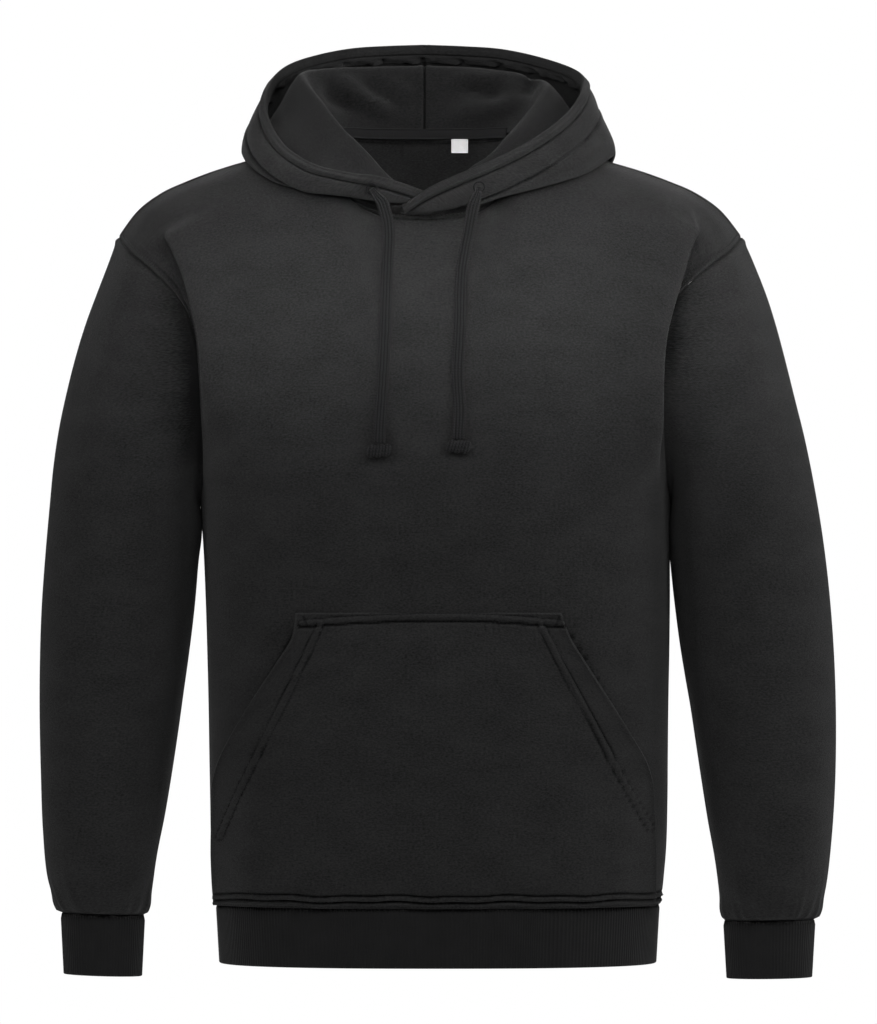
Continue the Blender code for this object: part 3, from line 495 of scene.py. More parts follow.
# The chest's fullness rolls out over the armhole seams: how far out and forward, how far the roll
# reaches to its outer and inner side, and its line from the bottom up
Roll = namedtuple("Roll", "out forward outer inner line")
CHEST_ROLLS = [
    Roll(-0.0065, 0.0140, 0.0045, 0.0240, [
        (-0.1960, -0.2600), (-0.1960, -0.2000), (-0.1985, -0.1600), (-0.2050, -0.1300),
        (-0.2115, -0.1080), (-0.2180, -0.0900), (-0.2250, -0.0750), (-0.2350, -0.0580)]),
    Roll(0.0105, 0.0150, 0.0045, 0.0260, [
        (0.2020, -0.3000), (0.1975, -0.2500), (0.1965, -0.2000), (0.1990, -0.1600),
        (0.2060, -0.1300), (0.2130, -0.1080), (0.2190, -0.0880), (0.2250, -0.0710),
        (0.2320, -0.0620), (0.2420, -0.0590)]),
]
ROLL_ENDS = (0.30, 0.06)        # shares of a roll's line over which it rises and dies away
ROLL_SHADE, SHADE_FALL = 0.85, 0.0070       # painted shade in the hollow beside a roll, and its reach
BACK_ROLL = 0.6                 # how far the back's rolls stand out, against the front's
# The pocket's outline and how far it stands off, in the middle and at its openings
Pocket = namedtuple("Pocket", "height right left middle mouth")
POCKET = [
    Pocket(-0.4010, -0.1176, 0.1150, 0.0000, 0.0000),
    Pocket(-0.4180, -0.1176, 0.1200, 0.0030, 0.0030),
    Pocket(-0.4650, -0.1445, 0.1470, 0.0070, 0.0075),
    Pocket(-0.5090, -0.1693, 0.1725, 0.0085, 0.0085),
    Pocket(-0.5400, -0.1850, 0.1900, 0.0080, 0.0050),
    Pocket(-0.5580, -0.1910, 0.1960, 0.0068, 0.0000),
    Pocket(-0.6200, -0.1925, 0.1990, 0.0040, 0.0000),
    Pocket(-0.6632, -0.1905, 0.1985, 0.0000, 0.0000),
]
LINE_STEPS = 40
SMOOTH_ANGLE = math.radians(50)
WELT = [(0.0024, 0.0018, 0.0015), (0.0052, -0.0016, 0.0009), (0.0080, 0.0018, 0.0016),
        (0.0110, -0.0015, 0.0010)]          # up from the hem seam: place, rise, half width
EDGE_SEAM = [(0.0, -0.0015, 0.0014), (0.0034, 0.0009, 0.0018), (0.0060, -0.0011, 0.0009),
             (0.0086, 0.0004, 0.0012)]      # in from a sewn edge: the seam, its ridge and topstitch


def row_at(table, place):
    """The table's row at a place in its first column, on a smooth cubic through the rows."""
    rows = sorted(table, key=lambda row: row[0])
    place = min(max(place, rows[0][0]), rows[-1][0])
    span = 0
    while span < len(rows) - 2 and place > rows[span + 1][0]:
        span += 1
    width = rows[span + 1][0] - rows[span][0]
    t = (place - rows[span][0]) / width

    def slope(values, index):
        before, after = max(index - 1, 0), min(index + 1, len(rows) - 1)
        return (values[after] - values[before]) * (1.0 / (rows[after][0] - rows[before][0]))

    return type(rows[0])(*(values[span] * (2 * t ** 3 - 3 * t ** 2 + 1)
                           + slope(values, span) * ((t ** 3 - 2 * t ** 2 + t) * width)
                           + values[span + 1] * (3 * t ** 2 - 2 * t ** 3)
                           + slope(values, span + 1) * ((t ** 3 - t ** 2) * width)
                           for values in map(np.array, zip(*rows))))


def ring_point(height, angle, facing):
    """A point of a body ring.  angle runs from -90 to 90 degrees, side seam to side seam."""
    ring = row_at(BODY, height)
    depth = ring.front if facing < 0 else ring.back
    across = math.copysign(abs(math.sin(angle)) ** SECTION_POWER, angle)
    deep = max(math.cos(angle), 0.0) ** SECTION_POWER
    return np.array((ring.middle + ring.half * across, facing * depth * deep, height))


def column_angle(column):
    """Ring angle of a panel column, counted from the centre: the first ones lie under the neck."""
    count = abs(column)
    if count <= NECK_SPANS:
        angle = NECK_TURN * count / NECK_SPANS
    else:
        share = (count - NECK_SPANS) / (HALF_SPANS - NECK_SPANS)
        angle = NECK_TURN + (math.pi / 2 - NECK_TURN) * share
    return math.copysign(angle, column)


def neck_point(turn, side):
    """A point of the neckline; side is -1 on the wearer's right and 1 on the left."""
    neck = row_at(NECKLINE, abs(turn))
    return np.array((NECK_MIDDLE + side * math.copysign(neck.out, turn), neck.depth, neck.height))


def top_point(column, facing):
    """The panel's top edge: neckline near the centre, then the shoulder seam."""
    side = -1 if column < 0 else 1
    count = abs(column)
    if count <= NECK_SPANS:
        share = count / NECK_SPANS
        turn = SHOULDER_TURN * share if facing < 0 else 180 - (180 - SHOULDER_TURN) * share
        return neck_point(turn, side)
    share = (count - NECK_SPANS) / (HALF_SPANS - NECK_SPANS)
    shoulder = row_at(SHOULDER, share)
    return np.array((NECK_MIDDLE * (1 - share) + side * shoulder.out, 0.0, shoulder.height))


def armhole_point(climb, side, facing):
    """The armhole seam on one side, front or back."""
    row = row_at(ARMHOLE, climb)
    depth = row.front if facing < 0 else row.back
    middle = BODY[-1].middle * (1 - ease(climb * 2))
    tilt = side * SEAM_TILT * math.sin(math.pi * climb) ** 2
    return np.array((middle + side * row.out, facing * depth, row.height + tilt))


def centre_point(climb, facing):
    """The panel's centre line from the underarm level to the neckline."""
    row = row_at(CENTRE, climb)
    depth, height = (row.front, row.front_height) if facing < 0 else (row.back, row.back_height)
    middle = BODY[-1].middle + (NECK_MIDDLE - BODY[-1].middle) * ease(climb)
    return np.array((middle, facing * depth, height))


def yoke_blend(column, climb, facing):
    """A panel's smooth surface above the underarm, carried on over the neck as if uncut."""
    side = -1 if column < 0 else 1
    under = max(0.0, 1 - abs(column) / NECK_SPANS)
    reach = FRONT_NECK_REACH if facing < 0 else BACK_NECK_REACH
    turn = climb * (1 - (1 - reach) * ease(under)) * math.pi / 2
    low = ring_point(BODY[-1].height, column_angle(column), facing)
    if under > 0:
        start = SHOULDER[0]
        high = np.array((NECK_MIDDLE + side * start.out * (1 - under), 0.0,
                         start.height + NECK_RISE * (1 - (1 - under) ** 2)))
    else:
        high = top_point(column, facing)
    return low + (high - low) * np.array((climb, 1 - math.cos(turn), math.sin(turn)))


def yoke_point(column, climb, facing):
    """The panel between the underarm level and its top edge, blended from its borders."""
    side = -1 if column < 0 else 1
    weight = (abs(column) / HALF_SPANS) ** 2

    def inside(at):
        centre = centre_point(at, facing) - yoke_blend(0, at, facing)
        edge = armhole_point(at, side, facing) - yoke_blend(side * HALF_SPANS, at, facing)
        return yoke_blend(column, at, facing) + centre * (1 - weight) + edge * weight

    share = abs(column) / HALF_SPANS
    roll = CHEST_ROLL * math.sin(math.pi * share ** 5) * math.sin(math.pi * climb) ** 2
    to_edge = top_point(column, facing) - inside(1)
    return inside(climb) + to_edge * climb ** 3 + np.array((side * roll, 0, 0))


def body_point(column, row, facing):
    """A point of the front (facing -1) or back (facing 1) panel."""
    if row <= BODY_ROWS:
        height = BODY[0].height + (BODY[-1].height - BODY[0].height) * row / BODY_ROWS
        return ring_point(height, column_angle(column), facing)
    return yoke_point(column, (row - BODY_ROWS) / ARMHOLE_ROWS, facing)


def refine(grid, cuts, axis, closed=False):
    """Put points between a grid's points, on a smooth curve through them; cuts is per span."""
    points = np.moveaxis(grid, axis, 0)
    count = len(points)
    spans = count if closed else count - 1
    if isinstance(cuts, int):
        cuts = [cuts] * spans
    steps = [np.arange(cut) / cut if isinstance(cut, int) else cut for cut in cuts]
    result = []
    for span in range(spans):
        near = [(span + k) % count if closed else min(max(span + k, 0), count - 1)
                for k in (-1, 0, 1, 2)]
        for t in steps[span]:
            result.append(between(*(points[index] for index in near), t))
    if not closed:
        result.append(points[-1])
    return np.moveaxis(np.array(result), 0, axis)


def crowded(count, at_end):
    """Places across a span that lie closer together towards one end."""
    if at_end:
        return 1 - (1 - np.arange(count) / count) ** CROWDING
    return (np.arange(count) / count) ** CROWDING


def normals_of(grid, closed):
    """Unit normals of a grid; closed joins the last column on."""
    if closed:
        sideways = np.roll(grid, -1, axis=1) - np.roll(grid, 1, axis=1)
    else:
        sideways = np.gradient(grid, axis=1)
    return unit(np.cross(sideways, np.gradient(grid, axis=0)))


def smooth_line(points):
    """A flat line through guide points, close enough to look curved."""
    points = np.array(points)
    return np.array([curve_point(points, k / LINE_STEPS) for k in range(LINE_STEPS + 1)])


def beside(x, z, line):
    """How far places seen from the front lie from a line, right of it above zero, and how far
    along it, 0 to 1."""
    nearest = np.full(x.shape, np.inf)
    reach = np.zeros_like(x)
    gone = 0.0
    for start, end, length in zip(line, line[1:], steps_along(line)):
        ahead = (end - start) / length
        dx, dz = x - start[0], z - start[1]
        t = np.clip(dx * ahead[0] + dz * ahead[1], 0.0, length)
        away = np.hypot(dx - ahead[0] * t, dz - ahead[1] * t)
        closer = away < np.abs(nearest)
        nearest = np.where(closer, np.where(dx * ahead[1] > dz * ahead[0], away, -away), nearest)
        reach = np.where(closer, gone + t, reach)
        gone += length
    return nearest, reach / gone


def fold_rise(x, z, folds):
    """How far folds and creases lift the cloth at places seen from the front."""
    total = np.zeros_like(x)
    for fold in folds:
        away, reach = beside(x, z, np.array(fold.line))
        width = np.where(away > 0, fold.width, fold.width * fold.lean)
        fade = ease(np.minimum(reach, 1 - reach) / FOLD_FADE + 0.05)
        total += fold.rise * np.exp(-(away / width) ** 2) * fade
    return total


def bumps(distance, rows):
    """Sum of raised and sunk lines by distance from an edge: place, rise, half width."""
    return sum(rise * np.exp(-((distance - place) / width) ** 2) for place, rise, width in rows)


FULL_SHADE_DEPTH = 0.0014             # a stitched line this deep takes the full painted shade
FOLD_FADE = 0.35                # share of a fold's line over which it fades at each end


def painted_seam_shade(rise):
    """Painted shade of a stitched line, 0 to 1, from how deep its rise sinks it."""
    return np.clip(-rise / FULL_SHADE_DEPTH, 0.0, 1.0)


def hem_wave(x):
    """How far the hem seam wanders up and down."""
    return 0.0007 * np.sin(x * 58.0 + 0.6) + 0.0005 * np.sin(x * 131.0 + 2.0)


def dress(piece, nodes, thickness):
    """Give a cloth face its thickness inwards, smooth it, hang it on the garment and hide the parts
    it stands for.
    """
    bpy.context.view_layer.objects.active = piece
    piece.select_set(True)
    wall = piece.modifiers.new("wall", "SOLIDIFY")
    wall.thickness = thickness
    wall.offset = -1.0
    bpy.ops.object.modifier_apply(modifier=wall.name)
    bpy.ops.object.shade_smooth_by_angle(angle=SMOOTH_ANGLE)
    piece.select_set(False)
    tell(piece, nodes)


IN_SHADE = 0.38                 # tone of the knit in a hollow, against its darkest in the open


def knit_look(name, wale, course, dark, light, roughness, sheen):
    """Jersey knit: rows of V loops, a marled yarn, and slow cloudiness from the dyeing.  The loops
    are painted lighter and the gaps between wales darker, as painted highlight and shade, and
    stitched lines and hollows take painted shade from the piece's own attribute."""
    look = Look(name, roughness, sheen)
    across, along = look.place()
    column = (across * (1 / wale)).fraction() * 2 - 1
    leg = column.size()
    loop = (along * (1 / course) + leg * 0.5).cosine() * 0.5 + 0.5
    valley = leg ** 3
    marl = look.noise(across, along, 760.0, 1.8)
    streak = look.noise(across, along, 420.0, 0.25)
    fluff = look.noise(across, along, 300.0, 1.5)
    cloud = look.noise(across, along, 38.0, 1.6)
    painted_shade = look.node("ShaderNodeAttribute", {"attribute_name": "painted_shade"}, {}, 2)
    # painted highlight on the loops and painted shade between the wales, over the yarn's own marl,
    # streaks, fluff and cloud
    tone = (marl * 1.5 + streak * 0.5 + fluff * 0.5 + cloud * 0.6 - 1.05 + loop * 0.14
            - valley * 0.12).clamp(0.0, 1.0)
    deep = tuple(channel * IN_SHADE for channel in dark)
    lift = (dark[0] - deep[0]) / (light[0] - deep[0])
    # painted shade: stitched lines and hollows are darkened by the piece's attribute, down to the
    # deep tone
    look.paint(deep, light, (tone * (1 - lift) + lift - painted_shade * 0.95).clamp(0.0, 1.0))
    look.raise_by(loop * 0.5 - valley * 0.6 + fluff * 0.7 + marl * 1.2, 0.00028, 0.9)
    return look.material


fleece = knit_look("fleece_face", 0.00115, 0.00095, (0.0145, 0.0145, 0.0150),
                   (0.0540, 0.0540, 0.0545), 0.92, 0.14)

THREAD = 0.00040                # radius of sewing thread
THREAD_SIDES = 5
STITCH = 0.0026
STITCH_PITCH = 0.0034
# Rings of one stitch: place along it, rise and thickness, the last two in thread radii
STITCH_RINGS = [(-0.5, -0.7, 0.55), (0.0, 0.45, 1.0), (0.5, -0.7, 0.55)]
thread_look = Look("black_thread", 0.70, 0.10)
thread_look.paint((0.006, 0.006, 0.007), (0.018, 0.018, 0.019),
                  thread_look.noise(*thread_look.place(), 700.0))
thread = thread_look.material


def stitching(name, rows, length=STITCH, pitch=STITCH_PITCH):
    """Rows of stitches as one piece.  Each row is a line near the cloth and the cloth's tree."""
    points = []
    faces = []
    corners = range(THREAD_SIDES)
    for line, tree in rows:
        line = np.asarray(line, float)
        count = max(int(steps_along(line).sum() / pitch), 2)
        spots = even_points(line, count + 1)
        for start, end in zip(spots[:-1], spots[1:]):
            middle, out, _, _ = tree.find_nearest(Vector((start + end) / 2))
            ahead = Vector(end - start)
            ahead = (ahead - out * ahead.dot(out)).normalized()
            side = out.cross(ahead)
            first = len(points)
            for share, rise, fat in STITCH_RINGS:
                centre = middle + ahead * (share * length) + out * (rise * THREAD)
                for k in corners:
                    angle = 2 * math.pi * k / THREAD_SIDES
                    points.append(centre + side * (math.cos(angle) * THREAD * fat)
                                  + out * (math.sin(angle) * THREAD * fat))
            for ring in (first, first + THREAD_SIDES):
                for k in corners:
                    a, b = ring + k, ring + (k + 1) % THREAD_SIDES
                    faces.append((a, b, b + THREAD_SIDES, a + THREAD_SIDES))
            faces.append(tuple(first + k for k in reversed(corners)))
            faces.append(tuple(first + 2 * THREAD_SIDES + k for k in corners))
    piece = new_piece(name, points, faces, thread)
    join(piece, [])
    tell(piece, [])


def tree_of(grid):
    """The grid's faces for finding the nearest place on them."""
    return BVHTree.FromPolygons(grid.reshape(-1, 3).tolist(), cells(grid, False)[2].tolist())


def panel_grid(facing):
    """A body panel with its folds, sunk seams and hem welt, and painted shade in its seams, beside
    the chest rolls and along the pocket's openings.
    """
    order = list(range(-HALF_SPANS, HALF_SPANS + 1))
    if facing > 0:
        order.reverse()
    coarse = np.array([[body_point(column, row, facing) for column in order]
                       for row in range(BODY_ROWS + ARMHOLE_ROWS + 1)])
    columns = [crowded(SEAM_CUTS, False)] + COLUMN_CUTS + [crowded(SEAM_CUTS, True)]
    base = refine(refine(coarse, columns, 1), ROW_CUTS + [crowded(SEAM_CUTS, True)], 0)
    weave = weave_of(base, False)
    up = weave[:, :, 1]
    x, z = base[:, :, 0], base[:, :, 2]
    side = np.minimum(weave[:, -1:, 0] - weave[:, :, 0], weave[:, :, 0] - weave[:, :1, 0])
    edge = np.minimum(side, up[-1:, :] - up)
    rise = fold_rise(x, z, FRONT_FOLDS if facing < 0 else BACK_FOLDS)
    rise *= ease(up / 0.03)
    rise *= ease(edge / 0.012)
    seam = bumps(edge, EDGE_SEAM) + bumps(up + hem_wave(x), WELT) * ease(side / 0.010)
    pucker = np.exp(-((up - 0.016) / 0.012) ** 2) * (np.sin(x * 310.0) * np.sin(x * 97.0 + 1.0))
    rise += seam + 0.00035 * pucker
    # painted shade in the sunk seam lines
    painted_shade = painted_seam_shade(seam)
    rolled = base.copy()
    for roll in CHEST_ROLLS:
        away, reach = beside(x, z, smooth_line(roll.line))
        near = np.exp(-(away / np.where(away * roll.out > 0, roll.outer, roll.inner)) ** 2)
        full = ease(reach / ROLL_ENDS[0]) * ease((1 - reach) / ROLL_ENDS[1])
        near *= full * ease(edge / 0.009)
        rolled[:, :, 0] += roll.out * near
        rolled[:, :, 1] += facing * roll.forward * near * (1.0 if facing < 0 else BACK_ROLL)
        # painted shade on the cloth just outside the roll, which lies in its hollow
        past = away * np.sign(roll.out)
        seen = np.maximum(past - abs(roll.out), 0.0)
        shade = ROLL_SHADE * np.exp(-seen / SHADE_FALL) * ease((past - 0.0010) / 0.0030)
        painted_shade = np.maximum(painted_shade, shade * full)
    # painted shadow on the front panel along the pocket's openings
    if facing < 0:
        for hand in ("right", "left"):
            mouth = np.array([(getattr(row, hand), row.height) for row in POCKET[1:6]])
            painted_shade = np.maximum(painted_shade, np.exp(-(beside(x, z, mouth)[0] / 0.0026) ** 2))
    return base, rolled + normals_of(rolled, False) * rise[:, :, None], weave, painted_shade


panels = {}
for name, facing in (("front", -1), ("back", 1)):
    base, grid, weave, painted_shade = panel_grid(facing)
    panels[name] = (base, grid, tree_of(grid))
    piece = grid_piece(name + "_fleece", grid, weave, False, fleece, painted_shade)
    dress(piece, [name], FLEECE)

HEM_STITCH_ROWS = (5, 10)
stitching("hem_stitching", [(grid[row], tree) for _, grid, tree in panels.values()
                            for row in HEM_STITCH_ROWS])

# ---------------------------------------------------------------- sleeves
# Fleece tubes set into the armholes, with the sleeve seam along the underarm.  They are full down
# to the rib, which gathers them, so the cloth blouses over the cuff in small uneven pleats.
SLEEVE_ROWS = 16
SLEEVE_CUTS = [11] * 2 + [8] * 13 + [12]
RING_CUTS = [SEAM_CUTS] + [SPAN_CUTS] * 22 + [SEAM_CUTS]
Sleeve = namedtuple("Sleeve", "share outer outer_height inner inner_height middle deep")
SLEEVES = {"right": [
    Sleeve(0.00, 0.2810, -0.0650, 0.2060, -0.3015, 0.000, 0.088),
    Sleeve(0.04, 0.2885, -0.0860, 0.2115, -0.3060, 0.000, 0.088),
    Sleeve(0.10, 0.3015, -0.1200, 0.2125, -0.3130, 0.001, 0.088),
    Sleeve(0.17, 0.3140, -0.1550, 0.2110, -0.3240, 0.003, 0.087),
    Sleeve(0.26, 0.3267, -0.2025, 0.2085, -0.3430, 0.004, 0.085),
    Sleeve(0.36, 0.3370, -0.2550, 0.2110, -0.3850, 0.004, 0.082),
    Sleeve(0.47, 0.3435, -0.3200, 0.2155, -0.4270, 0.001, 0.078),
    Sleeve(0.58, 0.3493, -0.3970, 0.2220, -0.4750, -0.003, 0.073),
    Sleeve(0.69, 0.3510, -0.4750, 0.2295, -0.5290, -0.008, 0.067),
    Sleeve(0.79, 0.3495, -0.5500, 0.2385, -0.5850, -0.013, 0.061),
    Sleeve(0.88, 0.3465, -0.6120, 0.2465, -0.6260, -0.018, 0.054),
    Sleeve(0.95, 0.3405, -0.6520, 0.2510, -0.6560, -0.021, 0.045),
    Sleeve(1.00, 0.3315, -0.6720, 0.2555, -0.6740, -0.022, 0.027),
], "left": [
    Sleeve(0.00, 0.2810, -0.0650, 0.2160, -0.3015, 0.000, 0.088),
    Sleeve(0.04, 0.2900, -0.0850, 0.2205, -0.3060, 0.000, 0.088),
    Sleeve(0.10, 0.3040, -0.1205, 0.2210, -0.3140, 0.001, 0.088),
    Sleeve(0.17, 0.3150, -0.1570, 0.2190, -0.3270, 0.003, 0.087),
    Sleeve(0.26, 0.3290, -0.2120, 0.2165, -0.3500, 0.004, 0.085),
    Sleeve(0.36, 0.3415, -0.2650, 0.2200, -0.3900, 0.004, 0.082),
    Sleeve(0.47, 0.3540, -0.3380, 0.2265, -0.4400, 0.001, 0.078),
    Sleeve(0.58, 0.3615, -0.4100, 0.2345, -0.4870, -0.003, 0.073),
    Sleeve(0.69, 0.3648, -0.4830, 0.2420, -0.5380, -0.008, 0.067),
    Sleeve(0.79, 0.3640, -0.5560, 0.2500, -0.5900, -0.013, 0.061),
    Sleeve(0.88, 0.3595, -0.6170, 0.2575, -0.6330, -0.018, 0.054),
    Sleeve(0.95, 0.3535, -0.6560, 0.2608, -0.6620, -0.021, 0.045),
    Sleeve(1.00, 0.3460, -0.6780, 0.2630, -0.6790, -0.022, 0.027),
]}
CAP_FADE = 0.34
RING_CROWDING = 1.15
FIT_ROWS = 30.0                 # rows over which a sleeve comes to the armhole's exact edge
# Painted shade where each sleeve lies in a hollow beside the body: how dark, how fast it lightens
# outwards, how far down it reaches, and the body's edge
Hollow = namedtuple("Hollow", "depth fall end line")
HOLLOWS = {
    "right": Hollow(1.0, 0.0150, -0.3000, [
        (-0.2200, -0.0900), (-0.2153, -0.1251), (-0.2100, -0.1516), (-0.2080, -0.1869),
        (-0.2065, -0.2311), (-0.2047, -0.2841), (-0.2030, -0.3300)]),
    "left": Hollow(0.60, 0.0090, -0.2100, [
        (0.2270, -0.0900), (0.2209, -0.1251), (0.2174, -0.1516), (0.2138, -0.1869),
        (0.2138, -0.2311), (0.2138, -0.2841), (0.2138, -0.3300)]),
}
HOLLOW_TOP = -0.095
SLEEVE_LEAN = {"right": 0.0060, "left": 0.0040}
LEAN_HEIGHT = -0.316
LEAN_REACH = (30.0, 0.024)      # degrees round the sleeve, and height
GATHERS = 22
GATHER_RISE = 0.0016
GATHER_REACH = 0.034
# Drags in the sleeves: Fold in the sleeve's own measures, degrees round from its outer side
# (towards the front above zero) at 1 mm a degree, and height, for the front half and the back
SLEEVE_FOLDS = {
    "right": [Fold(-0.0016, 0.010, 1.0, [(-0.060, -0.300), (-0.100, -0.330), (-0.140, -0.345)]),
              Fold(0.0018, 0.012, 1.0, [(-0.050, -0.360), (-0.095, -0.390), (-0.140, -0.400)]),
              Fold(-0.0016, 0.010, 1.0, [(-0.060, -0.430), (-0.110, -0.445), (-0.150, -0.440)]),
              Fold(0.0010, 0.014, 1.0, [(0.020, -0.560), (0.060, -0.590), (0.100, -0.600)]),
              Fold(-0.0009, 0.012, 1.0, [(0.030, -0.615), (0.080, -0.628), (0.130, -0.622)])],
    "left": [Fold(-0.0016, 0.010, 1.0, [(-0.050, -0.310), (-0.090, -0.335), (-0.145, -0.350)]),
             Fold(0.0018, 0.012, 1.0, [(-0.060, -0.370), (-0.100, -0.395), (-0.150, -0.410)]),
             Fold(-0.0016, 0.010, 1.0, [(-0.050, -0.440), (-0.100, -0.455), (-0.140, -0.450)]),
             Fold(0.0010, 0.014, 1.0, [(0.030, -0.575), (0.070, -0.600), (0.110, -0.605)]),
             Fold(-0.0009, 0.012, 1.0, [(0.020, -0.630), (0.070, -0.640), (0.120, -0.634)])],
}


def sleeve_section(table, share, angle, side, facing):
    """A point of a plain oval sleeve section; angle 0 is its outer end."""
    row = row_at(table, share)
    across = 0.5 + 0.5 * math.cos(angle)
    return np.array((side * (row.inner + (row.outer - row.inner) * across),
                     row.middle + facing * row.deep * math.sin(angle),
                     row.inner_height + (row.outer_height - row.inner_height) * across))


def sleeve_point(table, share, climb, side, facing):
    """A point of a sleeve: oval sections that keep the armhole's shape near the seam."""
    angle = math.pi * (1 - climb)
    oval = sleeve_section(table, share, angle, side, facing)
    seam = armhole_point(climb, side, facing) - sleeve_section(table, 0, angle, side, facing)
    return oval + seam * (1 - ease(share / CAP_FADE))


def sleeve_grid(table, side):
    """Rings from the cuff seam up; ring points start at the shoulder and go round."""
    climbs = [1 - k / ARMHOLE_ROWS for k in range(ARMHOLE_ROWS)]
    around = [(climb, -1) for climb in climbs] + [(1 - climb, 1) for climb in climbs]
    if side > 0:
        around = [around[0]] + list(reversed(around[1:]))
    shares = [(row / SLEEVE_ROWS) ** RING_CROWDING for row in range(SLEEVE_ROWS, -1, -1)]
    return np.array([[sleeve_point(table, share, climb, side, facing) for climb, facing in around]
                     for share in shares])


def armhole_ring(side):
    """The armhole edge of both panels as one ring, in the sleeve's order."""
    front = panels["front"][0][-ARMHOLE_POINTS:, 0 if side < 0 else -1]
    back = panels["back"][0][-ARMHOLE_POINTS:, -1 if side < 0 else 0]
    if side < 0:
        return np.concatenate([front[::-1][:-1], back[:-1]])
    return np.concatenate([back[::-1][:-1], front[:-1]])


sleeve_ends = {}
for name, side in (("right", -1), ("left", 1)):
    coarse = sleeve_grid(SLEEVES[name], side)
    sleeve_ends[name] = coarse[0]
    base = refine(refine(coarse, RING_CUTS, 1, True), SLEEVE_CUTS, 0)
    miss = armhole_ring(side) - base[-1]
    fade = ease(1 - np.arange(len(base))[::-1] / FIT_ROWS)
    base = base + miss[None] * fade[:, None, None]
    weave = weave_of(base, True)
    up = weave[:, :-1, 1]
    down = up[-1:, :] - up
    height = base[:, :, 2]
    spoke = base - base.mean(axis=1, keepdims=True)
    turn = np.degrees(np.arctan2(-spoke[:, :, 1], side * spoke[:, :, 0] + 0.35 * spoke[:, :, 2]))
    rise = fold_rise(turn * 0.001, height, SLEEVE_FOLDS[name])
    # the sleeve leans on the side of the body just below the underarm
    rise += (SLEEVE_LEAN[name] * np.exp(-((180.0 - np.abs(turn)) / LEAN_REACH[0]) ** 2)
             * np.exp(-((height - LEAN_HEIGHT) / LEAN_REACH[1]) ** 2))
    random.seed("gathers " + name)
    for pleat in range(GATHERS):
        spot = (pleat + random.uniform(-0.3, 0.3)) * 360.0 / GATHERS - 180.0
        width = random.uniform(3.4, 6.0)
        reach = GATHER_REACH * random.uniform(0.45, 1.25)
        lift = GATHER_RISE * random.uniform(0.35, 1.2)
        lean = random.uniform(-0.22, 0.22)
        off = (turn - spot - np.degrees(lean * up / 0.06) + 180.0) % 360.0 - 180.0
        rise += lift * np.exp(-(off / width) ** 2) * np.exp(-(up / reach) ** 2) * ease(up / 0.004)
    seam = bumps(up, [(0.0, -0.0020, 0.0020)]) + bumps(down, [(0.0, -0.0013, 0.0014)])
    underarm = np.linalg.norm(base - base[:, base.shape[1] // 2][:, None], axis=2)
    seam += bumps(underarm, [(0.0, -0.0010, 0.0018), (0.0050, 0.0004, 0.0022)])
    rise += seam + bumps(up, [(0.010, 0.0014, 0.008)]) + bumps(down, [(0.0040, 0.0010, 0.0030)])
    grid = base + normals_of(base, True) * rise[:, :, None]
    # painted shade on the sleeve beside the body, lightening outwards from the body's edge, and in
    # its seams
    hollow = HOLLOWS[name]
    line = smooth_line(hollow.line)
    out = np.abs(base[:, :, 0]) - np.interp(height, line[::-1, 1], np.abs(line[::-1, 0]))
    shade = hollow.depth * np.exp(-np.maximum(out, 0.0) / hollow.fall)
    shade *= ease((HOLLOW_TOP - height) / 0.02) * ease((height - hollow.end) / 0.05)
    piece = grid_piece("sleeve_fleece_" + name, grid, weave, True, fleece,
                       np.maximum(painted_seam_shade(seam), shade))
    dress(piece, ["sleeve_" + name], FLEECE)

TOPSTITCH = 0.0060              # from the armhole seam
armhole_lines = []
for _, grid, tree in panels.values():
    for ends in (grid, grid[:, ::-1]):
        reach = np.cumsum(steps_along(ends[:, :40], 1), axis=1)
        row = [ends[k, 1 + int(np.argmin(np.abs(reach[k] - TOPSTITCH)))]
               for k in range(len(ends) - ARMHOLE_POINTS + 2, len(ends) - 6)]
        armhole_lines.append((row, tree))
stitching("armhole_stitching", armhole_lines)

# ---------------------------------------------------------------- cuffs and hem band
# Doubled 1x1 rib, folded along its lower edge and sewn to the fleece at its upper one.  The ribs
# run up and down; the bands draw in a little towards the fold.
RIB = 0.0022
RIB_RISE = 0.00024
SEAM_SINK = 0.0012              # how far the seam draws the band in
RIB_POINTS = 6                  # points round the ring for each rib
BAND_ROWS = 3
BAND_CUTS = 3
BAND_INSIDE = 4                 # every fourth row is enough on the inside
FOLD_STEPS = 6
Band = namedtuple("Band", "node height taper ribs")
BANDS = [Band("hem_band", 0.0520, 0.985, 364), Band("cuff_right", 0.0535, 0.93, 84),
         Band("cuff_left", 0.0505, 0.93, 84)]
rib_look = Look("rib_knit", 0.90, 0.30)
across, along = rib_look.place()
loop = (along * (1 / 0.0010)).cosine() * 0.5 + 0.5
fluff = rib_look.noise(across, along, 900.0, 0.7)
# the loops of each course are painted a little lighter: painted highlight, over a random tone
tone = fluff * 0.9 + rib_look.noise(across, along, 60.0) * 0.5 + loop * 0.15 - 0.3
rib_look.paint((0.0110, 0.0110, 0.0115), (0.0280, 0.0280, 0.0285), tone.clamp(0.0, 1.0))
rib_look.raise_by(loop * 0.4 + fluff * 0.8, 0.0002, 0.7)
rib = rib_look.material


def band_grid(ring, height, taper):
    """Rows from a band's edge up to the seam it hangs from; the ring draws in towards the edge."""
    middle = ring.mean(axis=0)
    grid = []
    for row in range(BAND_ROWS + 1):
        drop = 1 - row / BAND_ROWS
        scale = 1 - (1 - taper) * drop
        grid.append(np.stack([middle[0] + (ring[:, 0] - middle[0]) * scale,
                              middle[1] + (ring[:, 1] - middle[1]) * scale,
                              ring[:, 2] - height * drop], axis=1))
    return np.array(grid)


